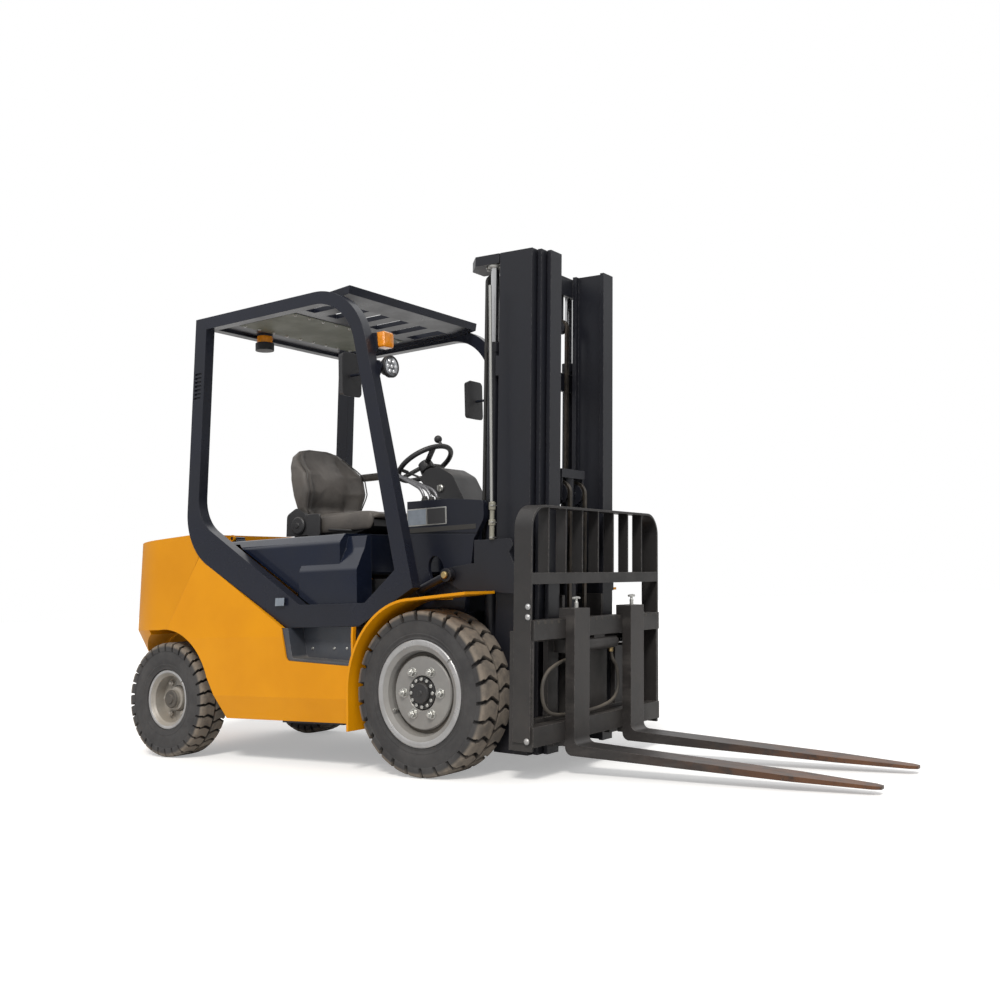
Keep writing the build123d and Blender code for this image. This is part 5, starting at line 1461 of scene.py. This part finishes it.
    def soft(self, name: str, grid: Array, node: str) -> None:
        """Makes one padded piece in place of its plain node.

        Args:
            name: Name of the piece.
            grid: Its closed grid in millimetres.
            node: The node that it stands for.
        """
        piece = self.workshop.make(name, Surface().add_grid(grid, close_columns=True), Vinyl(), Body.HOOD,
                                   "seat_vinyl", 60)
        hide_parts(node)

    def add_welts(self, origin: Array) -> None:
        """Runs a piped welt round the cushion's upper rim and up the back's wings.

        Args:
            origin: The seat's origin.
        """
        shape, inset = self.shape, 9
        outline = rounded_outline(shape.cushion_reach - inset, shape.half_width - inset, 46, 12)
        outline = self.dense(outline, 110) + [shape.cushion_middle, 0]
        _, top = self.cushion_depth(outline[:, 0], outline[:, 1])
        loop = np.column_stack([outline, top - 17]) + origin
        surface = Surface().add_grid(tube(np.vstack([loop, loop[:1]]), 3.2, 8), close_columns=True)
        height = np.linspace(1200, 1535, 40)
        for side in (-1, 1):
            y = side * (self.half_width_at(height) - 14)
            _, front = self.back_depth(y, height)
            surface.add_grid(tube(np.column_stack([front - 6, y, height]) + origin, 3.4, 8),
                             close_columns=True)
        self.workshop.make("seat_welts", surface,
                           Vinyl("seat welt vinyl", (0.05, 0.045, 0.042), (0.04, 0.036, 0.034)), Body.HOOD,
                           "seat_vinyl")

    def add_covers(self, origin: Array) -> None:
        """Adds the recliner's box and round covers beside the seat, and the lever on the pan.

        Args:
            origin: The seat's origin.
        """
        surface = Surface()
        box = slab(rounded_outline(46, 58, 16), 0, 11, 3)
        disc = lathe([(0, 0), (46, 0), (46, 9), (40, 14), (14, 15), (12, 19), (0, 19)], 40)
        for side in (-1, 1):
            frame = frame_of((0, side, 0))
            surface.add_grid(place(box, origin + on_side(self.shape.recliner, side), frame),
                             close_columns=True)
            surface.add_grid(place(disc, origin + on_side(self.shape.recliner_disc, side), frame),
                             close_columns=True)
        lever = [(-60, -238, 1120), (30, -240, 1112), (96, -238, 1106)]
        surface.add_grid(tube(np.array(lever) + origin, 6, 10), close_columns=True)
        self.workshop.make("recliner_covers", surface, PLASTIC, Body.HOOD, "black_plastic")


# Fittings on the body


@dataclass(frozen=True)
class BodyPlaces:
    """Places of the body's fittings in millimetres from the front axle's foot, on the left where both
    sides have one.
    """

    turn_lamp: Point = (-262, 466, 1972)
    work_lamp: Point = (-262, 447.7, 1846)
    lens_circle: float = 27.0
    lenses: int = 6
    mirror_glass: Point = (-498.1, 492, 1828)
    beacon: Point = (-1400, -180, 2250)
    plate: Point = (-101, -400, 1128.5)
    plate_step: float = 57.0
    seam: Point = (-12, -400, 1069)
    side_patch: Point = (-865, -578.8, 764)
    patch_lean: float = 0.084
    key_switch: Point = (-257, -95, 1290)
    lever_foot: tuple[float, float] = (-192, 1206)
    lever_bend: tuple[float, float] = (-206, 1268)
    lever_tops: tuple[Point, ...] = ((-445, -200, 1365), (-402, -250, 1358), (-359, -300, 1350))
    lever_radius: float = 8.0
    boot_foot: float = 1205.2
    boot_height: float = 30.0
    tray_bolts: tuple[Point, ...] = ((-740, 486, 540), (-600, 486, 540), (-520, 486, 540))
    roof_panel: Point = (-1125, 0, 2219.8)
    roof_bolt_rows: tuple[float, float] = (-1310, -940)
    roof_bolt_reach: float = 400.0
    roof_bolt_height: float = 2217.5


@dataclass
class BodyFittings:
    """Lamps, mirrors, plates, switches, levers and bolts on the chassis."""

    workshop: Workshop
    places: BodyPlaces = BodyPlaces()

    def build(self) -> None:
        """Makes every fitting."""
        self.origin = np.array([self.workshop.axle("front")[0], 0, 0])
        self.add_lamps()
        self.add_mirrors()
        self.add_beacon()
        self.add_plates()
        self.add_controls()
        self.add_levers()
        self.add_step_bolts()
        self.add_roof_panel()

    def add(self, name: str, grids: list[Array], finish: object, slot: str,
            body: Body = Body.CHASSIS) -> None:
        """Makes one piece of closed grids given from the front axle.

        Args:
            name: Name of the piece.
            grids: Closed grids in millimetres.
            finish: Its finish.
            slot: Passed on to make.
            body: The body that carries it.
        """
        surface = Surface()
        for grid in grids:
            surface.add_grid(grid + self.origin, close_columns=True)
        self.workshop.make(name, surface, finish, body, slot)

    def add_lamps(self) -> None:
        """Adds amber turn lamps, and work lamps with a bezel and a ring of small lenses."""
        forward, places = frame_of((1, 0, 0)), self.places
        amber, bezels, glass, dots = [], [], [], []
        spot_turn = np.concatenate([[0.0], np.arange(places.lenses) * FULL_TURN / places.lenses])
        spot_radius = np.array([0.0] + [places.lens_circle] * places.lenses)
        block = slab(rounded_outline(36.5, 37, 9), -46, 7, 6, 3)
        bezel = lathe([(0, -3), (53, -3), (54, 3), (51, 7), (46, 7), (45, 2), (0, 2)], 48)
        pane = lathe([(0, 1), (45, 1), (45, 4), (30, 6), (0, 7)], 40)
        lens = lathe([(0, 0), (9, 0), (7, 3), (0, 4.5)], 18)
        for side in (-1, 1):
            amber.append(place(block, on_side(places.turn_lamp, side), forward))
            middle = on_side(places.work_lamp, side)
            bezels.append(place(bezel, middle, forward))
            glass.append(place(pane, middle, forward))
            for turn, radius in zip(spot_turn, spot_radius):
                spot = middle + [6, radius * math.cos(turn), radius * math.sin(turn)]
                dots.append(place(lens, spot, forward))
        self.add("turn_lamps", amber, AMBER, "lamp_glass")
        self.add("work_lamp_bezels", bezels, PLASTIC, "black_plastic")
        self.add("work_lamp_glass", glass, CLEAR, "lamp_glass")
        self.add("work_lamp_spots", dots, LED, "lamp_glass")

    def add_mirrors(self) -> None:
        """Adds the glass on the mirrors' rear faces."""
        rearward = frame_of((-1, 0, 0))
        pane = slab(rounded_outline(55, 95, 18, 8), 0, 1.6, 0.5)
        glass = [place(pane, on_side(self.places.mirror_glass, side), rearward) for side in (-1, 1)]
        self.add("mirror_glass", glass, MIRROR, "lamp_glass")

    def add_beacon(self) -> None:
        """Adds the beacon's amber upper part."""
        dome = lathe([(0, -77), (42.8, -77), (42.8, -40), (40, -32), (0, -32)], 40)
        self.add("beacon_lens", [place(dome, self.places.beacon, np.eye(3))], AMBER, "lamp_glass")

    def add_plates(self) -> None:
        """Adds the blank framed plate on the cowl and the grey patch on the guard's sill."""
        outward, places = frame_of((0, -1, 0)), self.places
        plate, step = np.array(places.plate), np.array([places.plate_step, 0, 0])
        border = slab(rounded_outline(116, 40, 5), -0.5, 2.2, 0.6)
        grey = slab(rounded_outline(54, 35, 3), 0, 3.0, 0.4)
        dark = slab(rounded_outline(52, 35, 3), 0, 3.0, 0.4)
        seam = slab(rounded_outline(190, 11, 4), -0.5, 0.9, 0.2)
        patch = slab(rounded_outline(30, 19, 3), -0.4, 0.6, 0.2)
        leaning = frame_of((0, -1, places.patch_lean))
        self.add("plate_frame", [place(border, plate, outward)], ZINC, "rod_chrome")
        self.add("plate_grey", [place(grey, plate - step, outward)], PLATE_GREY, "rod_chrome")
        self.add("plate_dark", [place(dark, plate + step, outward)], PLASTIC, "black_plastic")
        self.add("cowl_seam", [place(seam, places.seam, outward)], DARK_RUBBER, "black_plastic")
        self.add("side_patch", [place(patch, places.side_patch, leaning)], PLATE_GREY, "yellow_paint")

    def add_controls(self) -> None:
        """Adds the key switch, the turn stalk and the levers' rubber boots."""
        outward, places = frame_of((0, -1, 0)), self.places
        barrel = lathe([(0, -2), (19, -2), (19, 8), (15, 12), (9, 12), (8, 9), (0, 9)], 28)
        blade = slab(rounded_outline(3, 12, 2), 8, 27, 1)
        key = [place(part, places.key_switch, outward) for part in (barrel, blade)]
        self.add("key_switch", key, ZINC, "rod_chrome")
        stalk = [tube(np.array([(-352, -28, 1330), (-400, -60, 1352), (-470, -96, 1388)]), 5.5, 10),
                 tube(np.array([(-466, -94, 1386), (-505, -114, 1405)]), 9, 12)]
        ridges = enumerate(np.linspace(0, 1, 9))
        height = places.boot_height
        folds = [(19 - 9 * share + 2.2 * (index % 2), height * share) for index, share in ridges]
        boot = lathe([(0, 0), *folds, (0, height)], 24)
        feet = [(places.lever_foot[0], y, places.boot_foot) for _, y, _ in places.lever_tops]
        boots = [place(boot, foot, np.eye(3)) for foot in feet]
        self.add("stalk_and_boots", stalk + boots, PLASTIC, "black_plastic")

    def add_levers(self) -> None:
        """Bends the three control levers from the cowl up and back to their knobs.

        Each is straight from its foot, then a quadratic curve about the bend to the knob.
        """
        surface, places = Surface(), self.places
        turn = np.linspace(0, 1, 12)[:, None]
        for reach, y, height in places.lever_tops:
            foot = np.array([places.lever_foot[0], y, places.lever_foot[1]])
            bend = np.array([places.lever_bend[0], y, places.lever_bend[1]])
            top = np.array([reach, y, height])
            entry, leave = foot + (bend - foot) * 0.4, bend + (top - bend) * 0.2
            curve = (1 - turn) ** 2 * entry + 2 * turn * (1 - turn) * bend + turn ** 2 * leave
            rod = tube(np.vstack([foot, curve, top]) + self.origin, places.lever_radius, 14)
            surface.add_grid(rod, close_columns=True)
        piece = self.workshop.make("lever_rods", surface, DULL_STEEL, Body.CHASSIS, "rod_chrome")
        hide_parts("control_levers")

    def add_step_bolts(self) -> None:
        """Adds three bolts on the inner wall of each step tray."""
        surface = Surface()
        for side in (-1, 1):
            spots = np.array([on_side(spot, side) for spot in self.places.tray_bolts]) + self.origin
            surface.add_copies(nut(9, 4, 7), spots, frame_of((0, side, 0)))
        self.workshop.make("step_bolts", surface, ZINC, Body.CHASSIS, "tray_paint")

    def add_roof_panel(self) -> None:
        """Adds the green-grey panel under the roof with its two rows of small bolts."""
        down, places = frame_of((0, 0, -1), (0, 1, 0)), self.places
        panel = place(slab(rounded_outline(205, 425, 8), 0, 2.5, 0.6), places.roof_panel, down)
        self.add("roof_panel", [panel], ROOF_LINER, "navy_paint")
        along = np.linspace(-places.roof_bolt_reach, places.roof_bolt_reach, 9)
        spots = [(x, y, places.roof_bolt_height) for x in places.roof_bolt_rows for y in along]
        spots = np.array(spots) + self.origin
        bolts = Surface().add_copies(nut(12, 5, 9), spots, down)
        self.workshop.make("roof_bolts", bolts, ZINC, Body.CHASSIS, "navy_paint")


# Fittings on the mast


@dataclass(frozen=True)
class MastPlaces:
    """Places on the mast as u forward, y left and w up its rails, in millimetres from the front axle.

    The tilt pin is the only one given upright: forward of the axle, left and from the ground.
    """

    lean_degrees: float = 2.82
    tilt_pin: Point = (45, 466, 858)
    backrest_bolts: tuple[Point, ...] = ((535, 561.2, 382), (535, 561.2, 340), (535, 561.2, -158))
    rod_collar: Point = (172, 318, 1920)
    head_nuts: tuple[Point, ...] = ((122, 300, 1920), (205, 318, 1920))
    fork_pin: Point = (574, 247, 372)
    fork_pin_bar: tuple[Point, ...] = ((0, -26, 40), (0, 0, 42), (0, 26, 40))
    notch_pitch: float = 52.0
    notch_limit: float = 520.0
    notch_edge: tuple[float, float] = (560.5, 316)
    fork_clearance: float = 80.0
    gland: Point = (530, 130, 206)
    union: Point = (530, 130, 177)
    chain_pin: Point = (430, 65, 92)
    chain_pin_reach: float = 16.0
    coupling: Point = (247.0, -422.5, 662.0)
    coupling_top: float = 1800.0
    pipe_set_back: float = 28.0
    hose_port: float = 174.0
    hose_radius: float = 8.0


@dataclass
class MastFittings:
    """Bolts, pins, fittings and hoses on the mast."""

    workshop: Workshop
    places: MastPlaces = MastPlaces()

    def __post_init__(self) -> None:
        """Works out the mast's axes from the front axle."""
        lean = math.radians(self.places.lean_degrees)
        self.axes = np.array([[math.cos(lean), 0, -math.sin(lean)], [0, 1, 0],
                              [math.sin(lean), 0, math.cos(lean)]])
        self.origin = np.array(self.workshop.axle("front"))

    def at(self, points: Array) -> Array:
        """Turns u, y, w into places in the row frame."""
        return self.origin + np.asarray(points, float) @ self.axes

    def frame(self, out: Point, up: Point = (0, 0, 1)) -> Array:
        """Makes a frame whose third row points along a direction given as u, y, w."""
        return frame_of(out, up) @ self.axes

    def build(self) -> None:
        """Makes every fitting."""
        self.add_bosses()
        self.add_backrest_bolts()
        self.add_head_bolts()
        self.add_fork_pins()
        self.add_bar_notches()
        self.add_cylinder_ends()
        self.add_chain_pins()
        self.add_coupling()
        self.add_shift_hose()

    def add_bosses(self) -> None:
        """Adds the bronze-coloured end of each tilt pin, outside the rod's eye."""
        pins = Surface()
        end = lathe([(0, -6), (16, -6), (16, 3), (13, 7), (0, 7)], 28)
        for side in (-1, 1):
            frame = frame_of((0, side, 0))
            spot = on_side(self.places.tilt_pin, side) + [self.origin[0], 0, 0]
            pins.add_grid(place(end, spot, frame), close_columns=True)
        self.workshop.make("tilt_pin_ends", pins, BRASS, Body.MAST_OUTER, "rod_chrome")

    def add_backrest_bolts(self) -> None:
        """Adds bright round heads on the load backrest's two sides."""
        surface = Surface()
        head = Surface().add_grid(lathe([(0, 0), (13, 0), (13, 2), (10, 6), (5, 9), (0, 9.6)], 24),
                                  close_columns=True)
        for side in (-1, 1):
            spots = self.at([on_side(spot, side) for spot in self.places.backrest_bolts])
            surface.add_copies(head, spots, self.frame((0, side, 0)))
        self.workshop.make("backrest_bolts", surface, BRIGHT_RIM, Body.SHIFTER, "mast_paint")

    def add_head_bolts(self) -> None:
        """Adds the lift rods' nuts and smaller bolts under the middle stage's head plate."""
        down = self.frame((0, 0, -1), (0, 1, 0))
        surface = Surface()
        collar = Surface().add_grid(lathe([(20.6, 0), (34, 0), (34, 9), (30, 13), (20.6, 13)], 32),
                                    close_rows=True, close_columns=True)
        for side in (-1, 1):
            surface.add_copies(collar, self.at([on_side(self.places.rod_collar, side)]), down)
            nuts = self.at([on_side(spot, side) for spot in self.places.head_nuts])
            surface.add_copies(nut(19, 12, 15), nuts, down)
        self.workshop.make("head_bolts", surface, ZINC, Body.MAST_MIDDLE, "mast_paint")

    def add_fork_pins(self) -> None:
        """Adds the sprung T-handled pin that locks each fork on the top bar."""
        post = Surface().add_grid(lathe([(0, -20), (9, -20), (9, 22), (6, 26), (6, 44), (0, 44)], 18),
                                  close_columns=True)
        for side, body in ((-1, Body.FORK_RIGHT), (1, Body.FORK_LEFT)):
            foot = on_side(self.places.fork_pin, side)
            surface = Surface().add_copies(post, self.at([foot]), self.frame((0, 0, 1), (1, 0, 0)))
            bar = self.at(foot + np.array(self.places.fork_pin_bar))
            surface.add_grid(tube(bar, 5.5, 10), close_columns=True)
            self.workshop.make(f"fork_pin_{'right' if side < 0 else 'left'}", surface, ZINC, body,
                               "rod_chrome")

    def add_bar_notches(self) -> None:
        """Adds the row of notches along the top bar's front edge as dark inlays painting the shade in each
        slot, apart from those behind a fork.
        """
        surface, places = Surface(), self.places
        notch = Surface().add_grid(slab(rounded_outline(8, 7, 2), -2, 0.15, 0.1), close_columns=True)
        row = np.arange(-places.notch_limit, places.notch_limit + 1, places.notch_pitch)
        across = row[np.abs(np.abs(row) - places.fork_pin[1]) > places.fork_clearance]
        forward, height = places.notch_edge
        spots = self.at(np.stack([0 * across + forward, across, 0 * across + height], -1))
        surface.add_copies(notch, spots, self.frame((1, 0, 0)))
        # Black rubber finish used as painted shade inside each notch.
        self.workshop.make("bar_notch_shade", surface, DARK_RUBBER, Body.SHIFTER, "mast_paint")

    def add_cylinder_ends(self) -> None:
        """Adds bright glands and hose unions on the side shift cylinder."""
        glands, unions = Surface(), Surface()
        gland = lathe([(11.6, 0), (27, 0), (27, 16), (23, 22), (11.6, 22)], 36)
        down = self.frame((0, 0, -1), (1, 0, 0))
        for side in (-1, 1):
            spot = self.at([on_side(self.places.gland, side)])
            outward = self.frame((0, side, 0))
            glands.add_grid(place(gland, spot, outward), close_rows=True, close_columns=True)
            unions.add_copies(nut(20, 16, 13), self.at([on_side(self.places.union, side)]), down)
        self.workshop.make("shift_glands", glands, BRIGHT_RIM, Body.SHIFTER, "mast_paint")
        self.workshop.make("shift_unions", unions, BRASS, Body.SHIFTER, "rod_chrome")

    def add_chain_pins(self) -> None:
        """Adds the chains' anchor pins on the carriage."""
        surface, reach = Surface(), self.places.chain_pin_reach
        ends = np.array([(0, -reach, 0), (0, 0, 0), (0, reach, 0)])
        for side in (-1, 1):
            pin = self.at(on_side(self.places.chain_pin, side) + ends)
            surface.add_grid(tube(pin, 7, 14), close_columns=True)
        self.workshop.make("chain_pins", surface, BRIGHT_RIM, Body.CARRIAGE, "rod_chrome")

    def add_coupling(self) -> None:
        """Stands the pale pipe coupling and its bright pipe on the right bracket, behind the outer rail."""
        pipe, union = Surface(), Surface()
        (u, y, foot), top = self.places.coupling, self.places.coupling_top
        upward = self.frame((0, 0, 1), (1, 0, 0))
        body = [(0, 0), (11, 0), (11, 60), (15, 62), (15, 84), (10, 88), (10, 128), (15, 130),
                (15, 160), (9, 166), (0, 166)]
        union.add_grid(place(lathe(body, 24), self.at([(u, y, foot)])[0], upward), close_columns=True)
        rise = np.linspace(foot + 160, top, 24)
        set_back = self.places.pipe_set_back * (rise - foot) / (top - foot)
        route = np.stack([u - set_back, 0 * rise + y, rise], -1)
        pipe.add_grid(tube(self.at(route), 7, 12), close_columns=True)
        clip = slab(rounded_outline(17, 9, 3), 0, 5, 1)
        for height in (foot + 6, foot + 72, foot + 145):
            pipe.add_grid(place(clip, self.at([(u + 6, y, height)])[0], upward), close_columns=True)
        self.workshop.make("pipe_coupling", union, PALE_UNION, Body.MAST_OUTER, "rod_chrome")
        self.workshop.make("rising_pipe", pipe, ZINC, Body.MAST_OUTER, "rod_chrome")

    def add_shift_hose(self) -> None:
        """Hangs the side shift cylinder's hose in its loop, as a curve through the route's points."""
        port = self.places.hose_port
        route = [(530, -130, port), (530, -134, 150), (530, -300, 148), (524, -440, 90), (526, -430, -50),
                 (530, -300, -88), (530, 60, -84), (534, 196, -40), (530, 192, 90), (530, 134, 130),
                 (530, 130, port)]
        points = self.at(route) * MM
        curve = bpy.data.curves.new("shift_hose_curve", "CURVE")
        curve.dimensions = "3D"
        curve.resolution_u = 16
        line = curve.splines.new("NURBS")
        line.points.add(len(points) - 1)
        for point, place_at in zip(line.points, points):
            point.co = (*place_at, 1.0)
        line.order_u = 3
        line.use_endpoint_u = True
        hose = bpy.data.objects.new("shift_hose_loop", curve)
        bpy.context.scene.collection.objects.link(hose)
        bpy.context.view_layer.update()
        drawn = hose.to_mesh()
        hose.to_mesh_clear()
        curve.bevel_depth = self.places.hose_radius * MM
        curve.bevel_resolution = 3
        curve.use_fill_caps = True
        curve.materials.append(self.workshop.palette.material(DARK_RUBBER))
        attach(hose, Body.SHIFTER.value)
        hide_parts("shift_hose")


def dress_nodes(workshop: Workshop) -> None:
    """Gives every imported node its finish.

    Args:
        workshop: The frame and finishes.
    """
    for name, node in workshop.frame["nodes"].items():
        finish = NODE_FINISH.get(name, PLASTIC)
        material = workshop.palette.material(finish)
        if node.material_slots:
            for slot in node.material_slots:
                slot.material = material
        else:
            node.data.materials.append(material)
        log.info("%s in %s", name, finish.name)


def main(frame: dict) -> None:
    """Builds the studio and every sub-assembly in order.

    Args:
        frame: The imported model.
    """
    workshop = Workshop(frame, Palette())
    axle = workshop.centre("tyre_front_right")
    studio = Studio()
    studio.add_camera(axle[0])
    studio.add_light()
    studio.add_floor()
    dress_nodes(workshop)
    for side in ("right", "left"):
        Tyre(workshop, FRONT_TYRE, f"tyre_front_{side}", f"wheel_front_{side}").build()
        Tyre(workshop, REAR_TYRE, f"tyre_rear_{side}", f"wheel_rear_{side}").build()
        WheelTrim(workshop, FRONT_TRIM, "front", side).build()
        WheelTrim(workshop, REAR_TRIM, "rear", side).build()
    Seat(workshop).build()
    BodyFittings(workshop).build()
    MastFittings(workshop).build()


if __name__ == "__main__":
    logging.basicConfig(level=logging.INFO, format="%(name)s: %(message)s")
    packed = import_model()
    main(packed)
